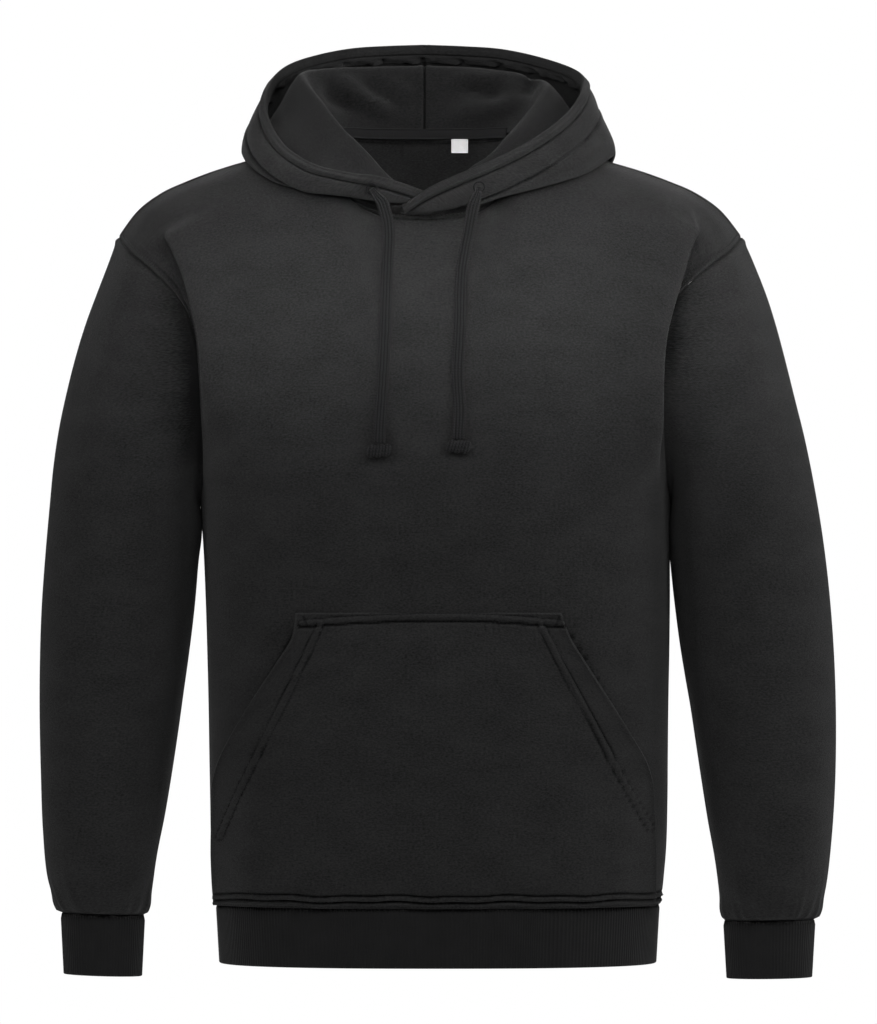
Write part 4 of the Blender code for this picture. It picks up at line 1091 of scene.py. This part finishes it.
hem_ring = np.array([body_point(column, 0, facing) for facing in (-1, 1)
                     for column in range(HALF_SPANS * facing, -HALF_SPANS * facing, -facing)])
for band in BANDS:
    ring = hem_ring if band.node == "hem_band" else sleeve_ends[band.node[5:]]
    coarse = band_grid(ring, band.height, band.taper)
    base = refine(refine(coarse, RIB_POINTS * band.ribs // len(ring), 1, True), BAND_CUTS, 0)
    points = base.shape[1]
    outward = normals_of(base, True)
    phase = 2 * math.pi * np.arange(points) / RIB_POINTS
    ribs = RIB_RISE * (np.cos(phase) * 0.7 + 0.3 * np.cos(2 * phase))
    heights = [band.height * row / (len(base) - 1) for row in range(len(base))]
    rows = []
    places = []
    for row in range(len(base) - 1, -1, -1):
        sink = SEAM_SINK * math.exp(-((band.height - heights[row]) / 0.0022) ** 2)
        rows.append(base[row] + outward[row] * (ribs - RIB_RISE - sink)[:, None])
        places.append(heights[row])
    for step in range(1, FOLD_STEPS):
        angle = math.pi * step / FOLD_STEPS
        inset = RIB / 2 * (1 - math.cos(angle))
        lower = base[0] - outward[0] * (inset + RIB_RISE)
        bottom = lower + outward[0] * (ribs * math.cos(angle))[:, None]
        rows.append(bottom - np.array((0, 0, RIB / 2 * math.sin(angle))))
        places.append(-RIB / 2 * math.sin(angle) - inset)
    for row in range(0, len(base), BAND_INSIDE):
        rows.append(base[row] - outward[row] * (RIB + RIB_RISE) - outward[row] * ribs[:, None])
        places.append(-heights[row] - RIB)
    grid = np.array(rows[::-1])
    girth = steps_along(np.concatenate([base[0], base[0][:1]]))
    weave = place_grid(np.concatenate([[0.0], np.cumsum(girth)]), places[::-1])
    grid = np.concatenate([grid, grid[:1]])
    weave = np.concatenate([weave, weave[:1] + (0, 0.003)])
    piece = grid_piece(band.node + "_rib", grid, weave, True, rib)
    join(piece, [])
    tell(piece, [band.node])

# ---------------------------------------------------------------- pocket
# A kangaroo pocket: one fleece piece with slanted openings whose facings are held by a two-needle
# stitch, sewn down along its top, its short sides and into the hem seam.
POCKET_ROWS = 12
POCKET_SPANS = 14
POCKET_COLUMN_CUTS = 11
POCKET_ROW_CUTS = [24] + [9] * 10 + [16]
POCKET_LIFT = 0.0008
POCKET_EDGE = 0.0050
# Two-needle rows: a raised welt between two sunk lines, across the top and beside each opening
WELTED = [(0.0, 0.0014, 0.0022), (0.0033, -0.0010, 0.0007), (-0.0033, -0.0010, 0.0007)]
TOP_WELTED = [(0.0004, 0.0016, 0.0022), (0.0034, -0.0008, 0.0008), (-0.0034, -0.0018, 0.0010),
              (-0.0066, 0.0006, 0.0018)]
NEEDLES = (-0.0033, 0.0033)
POCKET_HEM_ROWS = (3, 8)
POCKET_TOP = [(-0.1130, -0.4110), (-0.0600, -0.4072), (0.0000, -0.4055), (0.0600, -0.4065),
              (0.1170, -0.4110)]
POCKET_MOUTHS = {
    "right": [(-0.0965, -0.4110), (-0.1146, -0.4500), (-0.1429, -0.5070), (-0.1690, -0.5590),
              (-0.1880, -0.6020)],
    "left": [(0.0975, -0.4110), (0.1167, -0.4480), (0.1432, -0.4970), (0.1697, -0.5470),
             (0.1960, -0.5930)],
}
POCKET_FOLDS = [
    Fold(0.0012, 0.012, 1.0, [(-0.0900, -0.6300), (-0.0300, -0.6180), (0.0400, -0.6240)]),
    Fold(-0.0010, 0.014, 1.0, [(0.0500, -0.6050), (0.1100, -0.5900), (0.1600, -0.5950)]),
    Fold(-0.0010, 0.016, 1.0, [(-0.1100, -0.5400), (-0.0500, -0.5550), (0.0100, -0.5480)]),
    Fold(0.0010, 0.018, 1.0, [(-0.0600, -0.4600), (0.0200, -0.4700), (0.0900, -0.4580)]),
]


def front_point(across, height):
    """The front panel's point at a sideways place and a height below the underarm."""
    ring = row_at(BODY, height)
    share = min(abs(across - ring.middle) / ring.half, 1.0)
    angle = math.copysign(math.asin(share ** (1 / SECTION_POWER)), across - ring.middle)
    return ring_point(height, angle, -1)


heights = [POCKET[-1].height + (POCKET[0].height - POCKET[-1].height) * row / POCKET_ROWS
           for row in range(POCKET_ROWS + 1)]
outline = [row_at(POCKET, height) for height in heights]
spans = np.arange(POCKET_SPANS + 1) / POCKET_SPANS
laid = np.array([[front_point(row.right * (1 - span) + row.left * span, height)
                  for span in spans] for row, height in zip(outline, heights)])
edge = (2 * spans - 1) ** 2
lift = np.array([[POCKET_LIFT + POCKET_EDGE * e ** 2 + row.middle * (1 - e) + row.mouth * e
                  for e in edge] for row in outline])
coarse = laid + normals_of(laid, False) * lift[:, :, None]
base = refine(refine(coarse, POCKET_COLUMN_CUTS, 1), POCKET_ROW_CUTS, 0)
weave = weave_of(base, False)
x, z = base[:, :, 0], base[:, :, 2]
rise = fold_rise(x, z, FRONT_FOLDS) + fold_rise(x, z, POCKET_FOLDS)
top_gap = beside(x, z, smooth_line(POCKET_TOP))[0]
seam = bumps(-top_gap, TOP_WELTED)
for line in POCKET_MOUTHS.values():
    seam += bumps(beside(x, z, smooth_line(line))[0], WELTED)
ends = np.minimum(weave[:, :, 0] - weave[:, :1, 0], weave[:, -1:, 0] - weave[:, :, 0])
rise += bumps(ends, [(0.0, -0.0012, 0.0012), (0.0024, 0.0008, 0.0014)])
rise += bumps(weave[-1:, :, 1] - weave[:, :, 1], [(0.0, -0.0012, 0.0010), (0.0018, 0.0007, 0.0012)])
up = weave[:, :, 1]
seam += bumps(up + hem_wave(x) - 0.0006, WELT) * ease(ends / 0.010)
grid = base + normals_of(base, False) * (rise + seam)[:, :, None]
# painted shade in the pocket's stitched lines
piece = grid_piece("pocket_fleece", grid, weave, False, fleece, painted_seam_shade(seam))
dress(piece, ["pocket"], FLEECE)

pocket_tree = tree_of(grid)


def on_pocket(places):
    """Places seen from the front, laid on the pocket's cloth."""
    hits = [pocket_tree.ray_cast(Vector((x, -0.5, z)), Vector((0, 1, 0)))[0] for x, z in places]
    return [hit for hit in hits if hit is not None]


pocket_rows = []
for line in [POCKET_TOP] + list(POCKET_MOUTHS.values()):
    line = smooth_line(line)
    ahead = unit(np.gradient(line, axis=0))
    for gap in NEEDLES:
        row = line + np.stack([ahead[:, 1], -ahead[:, 0]], axis=1) * gap
        pocket_rows.append((on_pocket(row), pocket_tree))
for row in POCKET_HEM_ROWS:
    pocket_rows.append((grid[row], pocket_tree))
stitching("pocket_stitching", pocket_rows)
TACKS = ((-0.1120, 0.0010), (0.1150, -0.0010))      # place across, and lean
TACK_ROWS = (-0.0008, 0.0, 0.0008)
TACK_TOP, TACK_STEP = -0.4040, 0.0024
tacks = []
for place, lean in TACKS:
    for gap in TACK_ROWS:
        spots = on_pocket([(place + gap + lean * k, TACK_TOP - TACK_STEP * k) for k in range(5)])
        tacks.append((spots, pocket_tree))
stitching("pocket_bar_tacks", tacks, pitch=0.0012, length=0.0014)

# ---------------------------------------------------------------- hood
# Two halves, each fleece outside and a jersey lining inside, lying back on the shoulders as it
# does off the head.  The rim is turned in and the cord's tunnel is stitched behind it.
HOOD_LAYER = 0.0014
HOOD_GAP = 0.00015
HOOD_SPANS = 18
HOOD_ROWS = 14
HOOD_COLUMN_CUTS = 7
HOOD_ROW_CUTS = [7] * 12 + [10, 14]
RIM_TURN = 0.0030               # radius of the rim's turned edge
RIM_HEM = 0.0130                # depth of the turning on the inside
RIM_STEPS = 8
HEM_STEPS = 13
HEM_STITCH = 0.0054             # from the rim, on the inside
HEM_STITCH_ROW = -9             # the row of the turned hem that its stitches hold down
CHANNEL = 0.026                 # from the rim to the stitching of the cord's tunnel
CREST = 0.078                   # above this height the back's folds die away
# The rim's roll and the tunnel's stitching, in from the rim, and the centre seam outside and inside
RIM_SEAM = [(0.0030, 0.0018, 0.0026), (0.0068, -0.0020, 0.0012), (0.0160, 0.0012, 0.0080),
            (0.0260, -0.0020, 0.0012), (0.0290, 0.0006, 0.0016)]
CENTRE_SEAM = [(0.0, -0.0022, 0.0013), (0.0040, 0.0008, 0.0018), (0.0062, -0.0008, 0.0009)]
LINING_SEAM = [(0.0, -0.0014, 0.0010), (0.0032, 0.0009, 0.0016), (0.0056, -0.0006, 0.0008)]
HOOD_LIFT = 0.0020
HOOD_FIT = 0.978
Turn = namedtuple("Turn", "station turn step ridge low rim bulge")
HOODS = {"right": [
    Turn(0.00, -4, -0.0016, (-0.007, -0.0835, -0.0415), (-0.007, -0.0868, -0.0390),
         (-0.007, -0.0910, -0.0345), 0.000),
    Turn(0.07, 0, -0.0010, (0.000, -0.0863, -0.0395), (0.000, -0.0910, -0.0365),
         (0.000, -0.0960, -0.0300), 0.001),
    Turn(0.20, 26, 0.0000, (0.031, -0.0850, -0.0165), (0.040, -0.1010, -0.0345),
         (0.0385, -0.1080, -0.0180), 0.003),
    Turn(0.30, 42, 0.0000, (0.0546, -0.0690, 0.0102), (0.073, -0.0990, -0.0290),
         (0.065, -0.1065, -0.0140), 0.004),
    Turn(0.40, 58, 0.0000, (0.0736, -0.0480, 0.0300), (0.109, -0.0880, -0.0245),
         (0.099, -0.0940, -0.0055), 0.005),
    Turn(0.51, 80, 0.0000, (0.0947, -0.0150, 0.0586), (0.146, -0.0560, -0.0070),
         (0.129, -0.0620, 0.0160), 0.008),
    Turn(0.62, 100, 0.0000, (0.1089, 0.0250, 0.0815), (0.160, 0.0000, 0.0090),
         (0.1440, -0.0050, 0.0520), 0.007),
    Turn(0.76, 128, 0.0000, (0.085, 0.0590, 0.0895), (0.130, 0.1000, -0.0350),
         (0.127, 0.0660, 0.0895), 0.022),
    Turn(0.88, 154, 0.0000, (0.042, 0.0770, 0.0920), (0.068, 0.1400, -0.0850),
         (0.070, 0.1050, 0.1080), 0.030),
    Turn(1.00, 180, 0.0000, (0.000, 0.0830, 0.0930), (0.000, 0.1520, -0.1050),
         (0.000, 0.1180, 0.1125), 0.033),
], "left": [
    Turn(0.00, -13, 0.0046, (-0.017, -0.0900, -0.0460), (-0.018, -0.0945, -0.0450),
         (-0.019, -0.0980, -0.0430), 0.000),
    Turn(0.08, 0, 0.0046, (0.000, -0.0905, -0.0450), (0.000, -0.0975, -0.0435),
         (0.000, -0.1035, -0.0300), 0.001),
    Turn(0.13, 10, 0.0036, (0.013, -0.0905, -0.0430), (0.015, -0.1000, -0.0425),
         (0.012, -0.1065, -0.0240), 0.002),
    Turn(0.20, 26, 0.0010, (0.035, -0.0880, -0.0140), (0.0424, -0.1040, -0.0390),
         (0.0335, -0.1110, -0.0145), 0.003),
    Turn(0.30, 42, 0.0000, (0.0585, -0.0720, 0.0040), (0.071, -0.1000, -0.0310),
         (0.061, -0.1070, -0.0030), 0.004),
    Turn(0.40, 58, 0.0000, (0.072, -0.0540, 0.0200), (0.105, -0.0880, -0.0220),
         (0.090, -0.0950, 0.0120), 0.005),
    Turn(0.51, 80, 0.0000, (0.093, -0.0200, 0.0450), (0.143, -0.0560, -0.0090),
         (0.121, -0.0680, 0.0340), 0.008),
    Turn(0.62, 100, 0.0000, (0.109, 0.0160, 0.0700), (0.168, 0.0000, 0.0080),
         (0.1410, -0.0150, 0.0600), 0.007),
    Turn(0.76, 128, 0.0000, (0.090, 0.0570, 0.0840), (0.138, 0.1000, -0.0350),
         (0.138, 0.0600, 0.0860), 0.022),
    Turn(0.88, 154, 0.0000, (0.044, 0.0770, 0.0910), (0.068, 0.1400, -0.0850),
         (0.075, 0.1020, 0.1070), 0.030),
    Turn(1.00, 180, 0.0000, (0.000, 0.0830, 0.0930), (0.000, 0.1520, -0.1050),
         (0.000, 0.1180, 0.1125), 0.033),
]}
# Soft folds of the hood, seen from the front: the back's, in both layers, then the outside's
BACK_HOOD_FOLDS = [
    Fold(-0.0090, 0.0070, 1.3, [(-0.0900, 0.0860), (-0.0709, 0.0663), (-0.0450, 0.0540),
                                (-0.0273, 0.0455)]),
    Fold(0.0080, 0.0080, 1.3, [(-0.1000, 0.0800), (-0.0860, 0.0620), (-0.0640, 0.0480)]),
    Fold(0.0065, 0.0080, 1.2, [(-0.0640, 0.0830), (-0.0500, 0.0680), (-0.0250, 0.0600)]),
    Fold(-0.0055, 0.0065, 1.2, [(-0.0409, 0.0800), (-0.0300, 0.0690), (-0.0120, 0.0640)]),
    Fold(0.0080, 0.0075, 1.4, [(0.0180, 0.0720), (0.0430, 0.0700), (0.0726, 0.0620)]),
    Fold(-0.0090, 0.0075, 1.2, [(0.0090, 0.0470), (0.0450, 0.0480), (0.0720, 0.0540),
                                (0.0880, 0.0650)]),
    Fold(-0.0050, 0.0070, 1.2, [(0.0150, 0.0840), (0.0420, 0.0830), (0.0640, 0.0800)]),
    Fold(0.0080, 0.0080, 1.2, [(0.0960, 0.0840), (0.0880, 0.0740), (0.0830, 0.0600)]),
]
OUTSIDE_FOLDS = [
    Fold(0.0024, 0.0090, 1.0, [(0.1650, 0.0260), (0.1500, 0.0120), (0.1300, -0.0060)]),
    Fold(-0.0020, 0.0080, 1.0, [(0.1450, 0.0220), (0.1250, 0.0080), (0.1050, -0.0050)]),
    Fold(0.0018, 0.0100, 1.0, [(-0.1500, 0.0220), (-0.1300, 0.0050), (-0.1100, -0.0120)]),
    Fold(-0.0016, 0.0080, 1.0, [(-0.1250, 0.0200), (-0.1050, 0.0020), (-0.0850, -0.0100)]),
]


def hood_seam(turn, side):
    """The hood's neck edge, just above and inside the edge that the panels' columns give."""
    facing = -1 if abs(turn) <= SHOULDER_TURN else 1
    share = abs(turn) / SHOULDER_TURN if facing < 0 else (180 - abs(turn)) / (180 - SHOULDER_TURN)
    first = min(int(share * NECK_SPANS), NECK_SPANS - 1)
    ahead = math.copysign(side, turn * side)
    here = top_point(ahead * first, facing)
    edge = here + (top_point(ahead * (first + 1), facing) - here) * (share * NECK_SPANS - first)
    return np.array((NECK_MIDDLE + (edge[0] - NECK_MIDDLE) * HOOD_FIT, edge[1] * HOOD_FIT,
                     edge[2] + HOOD_LIFT))


def hood_point(table, side, station, place):
    """A point of a hood half's middle surface, place 0 at the neck seam and 1 at the rim."""
    row = row_at(table, station)
    seam = hood_seam(row.turn, side)
    seam = np.array((side * (seam[0] - NECK_MIDDLE), seam[1] - row.step, seam[2]))
    fall = row.ridge + (row.low - row.ridge) * 0.5
    belly = row.low + (row.rim - row.low) * 0.4 + unit(row.low * (1, 1, 0)) * row.bulge
    point = curve_point([seam, row.ridge, fall, row.low, belly, row.rim], place)
    return np.array((NECK_MIDDLE + side * point[0], point[1], point[2]))


def hood_grid(table, side):
    """Rows from the neck seam to the rim; columns run so that the hood's outside is outward."""
    stations = [k / HOOD_SPANS for k in range(HOOD_SPANS + 1)]
    if side < 0:
        stations.reverse()
    return np.array([[hood_point(table, side, station, row / HOOD_ROWS) for station in stations]
                     for row in range(HOOD_ROWS + 1)])


# The lining's tones are darker than the fleece's: partly the jersey's own tone, partly painted shade
# for the inside of the hood.
lining = knit_look("jersey_lining", 0.00100, 0.00085, (0.0105, 0.0105, 0.0110),
                   (0.0380, 0.0380, 0.0385), 0.92, 0.20)


def down_inside(layer, from_rim, back):
    """A hood layer's values at one depth in from the rim."""
    return np.array([[np.interp(back, from_rim[::-1, k], layer[::-1, k, axis]) for axis in range(3)]
                     for k in range(layer.shape[1])])


hood_rows = []
for name, side in (("right", -1), ("left", 1)):
    base = refine(refine(hood_grid(HOODS[name], side), HOOD_COLUMN_CUTS, 1), HOOD_ROW_CUTS, 0)
    weave = weave_of(base, False)
    x, y, z = base[:, :, 0], base[:, :, 1], base[:, :, 2]
    front_share = ease((0.04 - y) / 0.03)
    from_rim = weave[-1:, :, 1] - weave[:, :, 1]
    centre = weave[:, -1:, 0] - weave[:, :, 0] if side > 0 else weave[:, :, 0] - weave[:, :1, 0]
    drape = fold_rise(x, z, BACK_HOOD_FOLDS) * (1 - front_share) * ease(weave[:, :, 1] / 0.03)
    drape *= 1 - 0.90 * ease((z - CREST) / 0.010)
    base = base + normals_of(base, False) * (drape * ease((from_rim - 0.008) / 0.02))[:, :, None]
    outward = normals_of(base, False)
    rise = fold_rise(x, z, OUTSIDE_FOLDS) * front_share * ease(from_rim / 0.02)
    seam = bumps(from_rim, RIM_SEAM)
    seam += bumps(centre, CENTRE_SEAM) * (1 - front_share)
    rise += seam
    outer = base + outward * (HOOD_GAP + HOOD_LAYER + rise)[:, :, None]
    # the rim: over the edge and down the inside as a turned hem
    past = unit(base[-1] - base[-2])
    out = outward[-1]
    along_rim = weave[-1, :, 0]
    turned = []
    for step in range(1, RIM_STEPS):
        angle = math.pi * step / RIM_STEPS
        lift = math.cos(angle) * (HOOD_GAP + HOOD_LAYER + rise[-1])
        turned.append(base[-1] + out * lift[:, None] + past * (RIM_TURN * math.sin(angle)))
    for step in range(HEM_STEPS):
        back = RIM_HEM * step / (HEM_STEPS - 1)
        level = down_inside(base, from_rim, back)
        inward = down_inside(outward, from_rim, back)
        ripple = (0.0030 * np.sin(along_rim * 270.0 + step * 0.4) * np.sin(along_rim * 83.0 + 1.0)
                  + 0.0012 * np.sin(along_rim * 520.0 - step * 0.3))
        puff = (0.0018 * math.sin(math.pi * (step + 1) / (HEM_STEPS + 1))
                - 0.0016 * math.exp(-((back - HEM_STITCH) / 0.0010) ** 2))
        turned.append(level - inward * (HOOD_GAP + HOOD_LAYER + 0.0022 + puff
                                        + ripple * ease((back - HEM_STITCH) / 0.004))[:, None])
    shape = np.concatenate([outer, np.array(turned)])
    # painted shade in the hood's stitched lines, and along the turned hem's stitched row
    painted_shade = np.concatenate([painted_seam_shade(seam), np.zeros((len(turned), seam.shape[1]))])
    painted_shade[HEM_STITCH_ROW] = 0.8
    piece = grid_piece("hood_fleece_" + name, shape, weave_of(shape, False), False, fleece, painted_shade)
    dress(piece, ["hood_" + name], HOOD_LAYER * 0.9)

    inner_rise = bumps(centre, LINING_SEAM)
    inner = base - outward * (HOOD_GAP + HOOD_LAYER + inner_rise)[:, :, None]
    # painted shade in the lining's sunk centre seam
    piece = grid_piece("hood_lining_" + name + "_jersey", inner[:, ::-1], weave[:, ::-1], False,
                       lining, painted_seam_shade(inner_rise)[:, ::-1])
    dress(piece, ["hood_lining_" + name], HOOD_LAYER * 0.9)
    rows = np.argmin(np.abs(from_rim - CHANNEL), axis=0)
    hood_rows.append((outer[rows, np.arange(len(rows))], tree_of(outer)))
stitching("hood_stitching", hood_rows)

# The neck seam is topstitched to the front and back just below the hood
NECK_START = SEAM_CUTS + sum(EDGE_CUTS) + 4 * MIDDLE_CUTS       # a panel's columns before its neck
NECK_NEEDLES = (0.0024, 0.0062)
neck_rows = []
for _, grid, tree in panels.values():
    inside = slice(NECK_START, -NECK_START)
    for gap in NECK_NEEDLES:
        reach = np.cumsum(steps_along(grid[:-40:-1, inside]), axis=0)
        neck_rows.append(([grid[-2 - int(np.argmin(np.abs(reach[:, k] - gap))), inside][k]
                           for k in range(reach.shape[1])], tree))
stitching("neck_stitching", neck_rows)

# ---------------------------------------------------------------- neck tape and label
# Herringbone twill tape covers the back neck seam inside; the woven size tab hangs from it.
TAPE = 0.0008
TAPE_TURN = 54
TAPE_HALF = 0.0045
TAPE_IN = 0.0026
TAPE_SPANS = 12
TAPE_CUTS = (12, 8)
LABEL = 0.0004
LABEL_TURN = 160
LABEL_WIDTH = 0.0150
LABEL_DROP = 0.0125
LABEL_LEAN = 0.0010
LABEL_GAP = 0.0003
LABEL_ROWS, LABEL_COLUMNS = 20, 24
tape_look = Look("black_twill_tape", 0.75, 0.15)
across, along = tape_look.place()
zigzag = ((along * (1 / 0.0045)).fraction() - 0.5).size() * 4.0
twill = (across * (1 / 0.0016) + zigzag).cosine() * 0.5 + 0.5
# the twill's raised lines are painted lighter than its hollows: painted highlight and shade of the
# weave
tape_look.paint((0.010, 0.010, 0.011), (0.042, 0.042, 0.043), twill)
tape_look.raise_by(twill, 0.0002, 0.8)
coarse = np.array([[hood_seam(180 - abs(TAPE_TURN * (1 - 2 * span / TAPE_SPANS)),
                              -1 if span > TAPE_SPANS / 2 else 1) + (0, 0, rise)
                    for span in range(TAPE_SPANS + 1)] for rise in (-TAPE_HALF, 0.0, TAPE_HALF)])
base = refine(refine(coarse, TAPE_CUTS[0], 1), TAPE_CUTS[1], 0)
weave = weave_of(base, False)
edge = np.minimum(weave[:, :, 1], weave[-1:, :, 1] - weave[:, :, 1])
inward = TAPE_IN - 0.0002 * np.exp(-((edge - 0.0016) / 0.0006) ** 2) - 0.0004 * ease(edge / 0.0009)
grid = base - normals_of(base, False) * inward[:, :, None]
piece = grid_piece("neck_tape_twill", grid[:, ::-1], weave[:, ::-1], False, tape_look.material)
dress(piece, ["neck_tape"], TAPE)
tape_length = float(weave[0, -1, 0] - weave[0, 0, 0])

tab_look = Look("white_woven_tab", 0.55, 0.10)
across, along = tab_look.place()
weft = (along * (1 / 0.00045)).cosine() * 0.5 + 0.5
# the weft's raised lines are painted a little lighter: painted highlight, over a random tone
tab_look.paint((0.90, 0.90, 0.89), (0.97, 0.97, 0.96),
               weft * 0.5 + tab_look.noise(across, along, 1500.0) * 0.5)
tab_look.raise_by(weft, 0.0001, 0.6)
WHITE = (1.0, 1.0, 1.0, 1.0)
TAB_GLOW = 0.32               # the tab glows a little though it is no lamp: painted light that brightens it
tab_look.shader.inputs["Emission Color"].default_value = WHITE
tab_look.shader.inputs["Emission Strength"].default_value = TAB_GLOW
seam = hood_seam(LABEL_TURN, 1)
top = seam[2] - TAPE_HALF - LABEL_GAP
depth = seam[1] - TAPE_IN - TAPE / 2
share, drop = np.meshgrid(np.arange(LABEL_COLUMNS + 1) / LABEL_COLUMNS - 0.5,
                          1 - np.arange(LABEL_ROWS + 1) / LABEL_ROWS)
curl = 0.0005 * np.sin(math.pi * (share + 0.5)) * drop + 0.0003 * np.sin(7 * share) * drop ** 2
grid = np.stack([seam[0] + LABEL_WIDTH * share, depth + LABEL_LEAN * drop - curl,
                 top - LABEL_DROP * drop], axis=-1)
piece = grid_piece("size_tab", grid, weave_of(grid, False), False, tab_look.material)
dress(piece, ["label"], LABEL)

# ---------------------------------------------------------------- eyelets
# Buttonhole-stitched round holes in the hood's front bands; the cord passes out through each.
Eyelet = namedtuple("Eyelet", "side station place")
EYELETS = {"right": Eyelet(-1, 0.220, 0.83), "left": Eyelet(1, 0.230, 0.83)}
EYELET_RADIUS = 0.0047
BINDING = 0.0009
BINDING_STITCHES = 30
STITCH_POINTS = 6               # points round the eyelet for each stitch
BINDING_ROUND = 12              # points round the binding
for name, spot in EYELETS.items():

    def near(sideways, upward):
        """The hood's surface a step of 0.01 from the eyelet's middle."""
        return hood_point(HOODS[name], spot.side, spot.station + 0.01 * sideways,
                          spot.place + 0.01 * upward)

    sideways = (near(1, 0) - near(-1, 0)) * spot.side
    upward = near(0, 1) - near(0, -1)
    facing = unit(np.cross(sideways, upward))
    sideways = unit(sideways)
    upward = np.cross(facing, sideways)
    place = near(0, 0) + facing * (HOOD_LAYER + 3 * HOOD_GAP + BINDING)
    around = BINDING_STITCHES * STITCH_POINTS
    turn = 2 * math.pi * np.arange(around) / around
    strand = np.abs(np.sin(math.pi * np.arange(around) / STITCH_POINTS))
    fat = BINDING * (0.78 + 0.22 * strand)
    grid = []
    for row in range(BINDING_ROUND + 1):
        angle = 2 * math.pi * row / BINDING_ROUND
        reach = EYELET_RADIUS + fat * math.cos(angle)
        grid.append(place + sideways * (reach * np.cos(turn))[:, None]
                    + upward * (reach * np.sin(turn))[:, None]
                    + facing * (fat * math.sin(angle))[:, None])
    weave = place_grid(np.arange(around + 1) / around * 2 * math.pi * EYELET_RADIUS,
                       np.arange(BINDING_ROUND + 1) / BINDING_ROUND * 2 * math.pi * BINDING)
    piece = grid_piece("eyelet_binding_" + name, np.array(grid), weave, True, thread)
    join(piece, [])
    tell(piece, ["eyelet_" + name])

# ---------------------------------------------------------------- floor and light
# Studio light: a softbox high in front, one on each side of the camera, a strip on the left, one
# behind and a gridded lamp for the chest.  The floor lies well below the hanging garment.
FLOOR_SIZE, FLOOR_HEIGHT = 2.4, -0.95
BACKDROP, SKY = 1.0, 0.010      # strength of the white seen by the camera, and of its light
floor_look = Look("studio_floor", 0.9, 0.0)
floor_look.paint((0.80, 0.80, 0.80), (0.84, 0.84, 0.84),
                 floor_look.node("ShaderNodeTexNoise", {}, {"Scale": 3.0}))
bpy.ops.mesh.primitive_plane_add(size=FLOOR_SIZE, location=(0.0, 0.0, 0.0))
floor = bpy.context.object
floor.name = "studio_floor"
for vertex in floor.data.vertices:
    vertex.co.z = FLOOR_HEIGHT
floor.data.materials.append(floor_look.material)
floor.select_set(False)


def softbox(name, place, aim, size, power):
    """A large rectangular area light that faces a point."""
    lamp = bpy.data.lights.new(name, "AREA")
    lamp.shape = "RECTANGLE"
    lamp.size, lamp.size_y = size
    lamp.energy = power
    box = bpy.data.objects.new(name, lamp)
    box.location = place
    box.rotation_euler = (Vector(aim) - Vector(place)).to_track_quat("-Z", "Y").to_euler()
    bpy.context.scene.collection.objects.link(box)
    return box


softbox("key_softbox", (0.0, -1.10, 0.66), (0.0, 0.0, 0.02), (1.4, 0.45), 4.7)
softbox("front_softbox_right", (-1.35, -1.05, 0.42), (0.0, 0.0, -0.02), (0.4, 0.7), 5.6)
softbox("front_softbox_left", (1.35, -1.05, 0.42), (0.0, 0.0, -0.02), (0.4, 0.7), 6.2)
softbox("side_strip_left", (1.6, -0.15, 0.3), (0.0, 0.0, -0.10), (0.4, 1.0), 5.2)
softbox("back_softbox", (0.0, 1.7, 0.50), (0.0, 0.0, -0.30), (1.6, 0.8), 30.0)
chest_light = softbox("chest_grid_box", (0.04, -1.5, 0.10), (0.015, 0.0, -0.12), (0.55, 0.1), 0.20)
chest_light.data.spread = math.radians(16)
world = bpy.data.worlds.new("studio_world")
world.use_nodes = True
sky = Nodes(world.node_tree)
backdrop = sky.tree.nodes["Background"]
backdrop.inputs["Color"].default_value = WHITE
backdrop.inputs["Strength"].default_value = BACKDROP
dim = sky.node("ShaderNodeBackground", {}, {"Color": WHITE, "Strength": SKY})
to_camera = sky.node("ShaderNodeLightPath", {}, {})
blend = sky.node("ShaderNodeMixShader", {},
                 {0: to_camera, 1: dim, 2: Socket(sky, backdrop.outputs[0])})
sky.tree.links.new(blend.link, sky.tree.nodes["World Output"].inputs["Surface"])
bpy.context.scene.world = world
bpy.context.scene.view_settings.view_transform = "Standard"
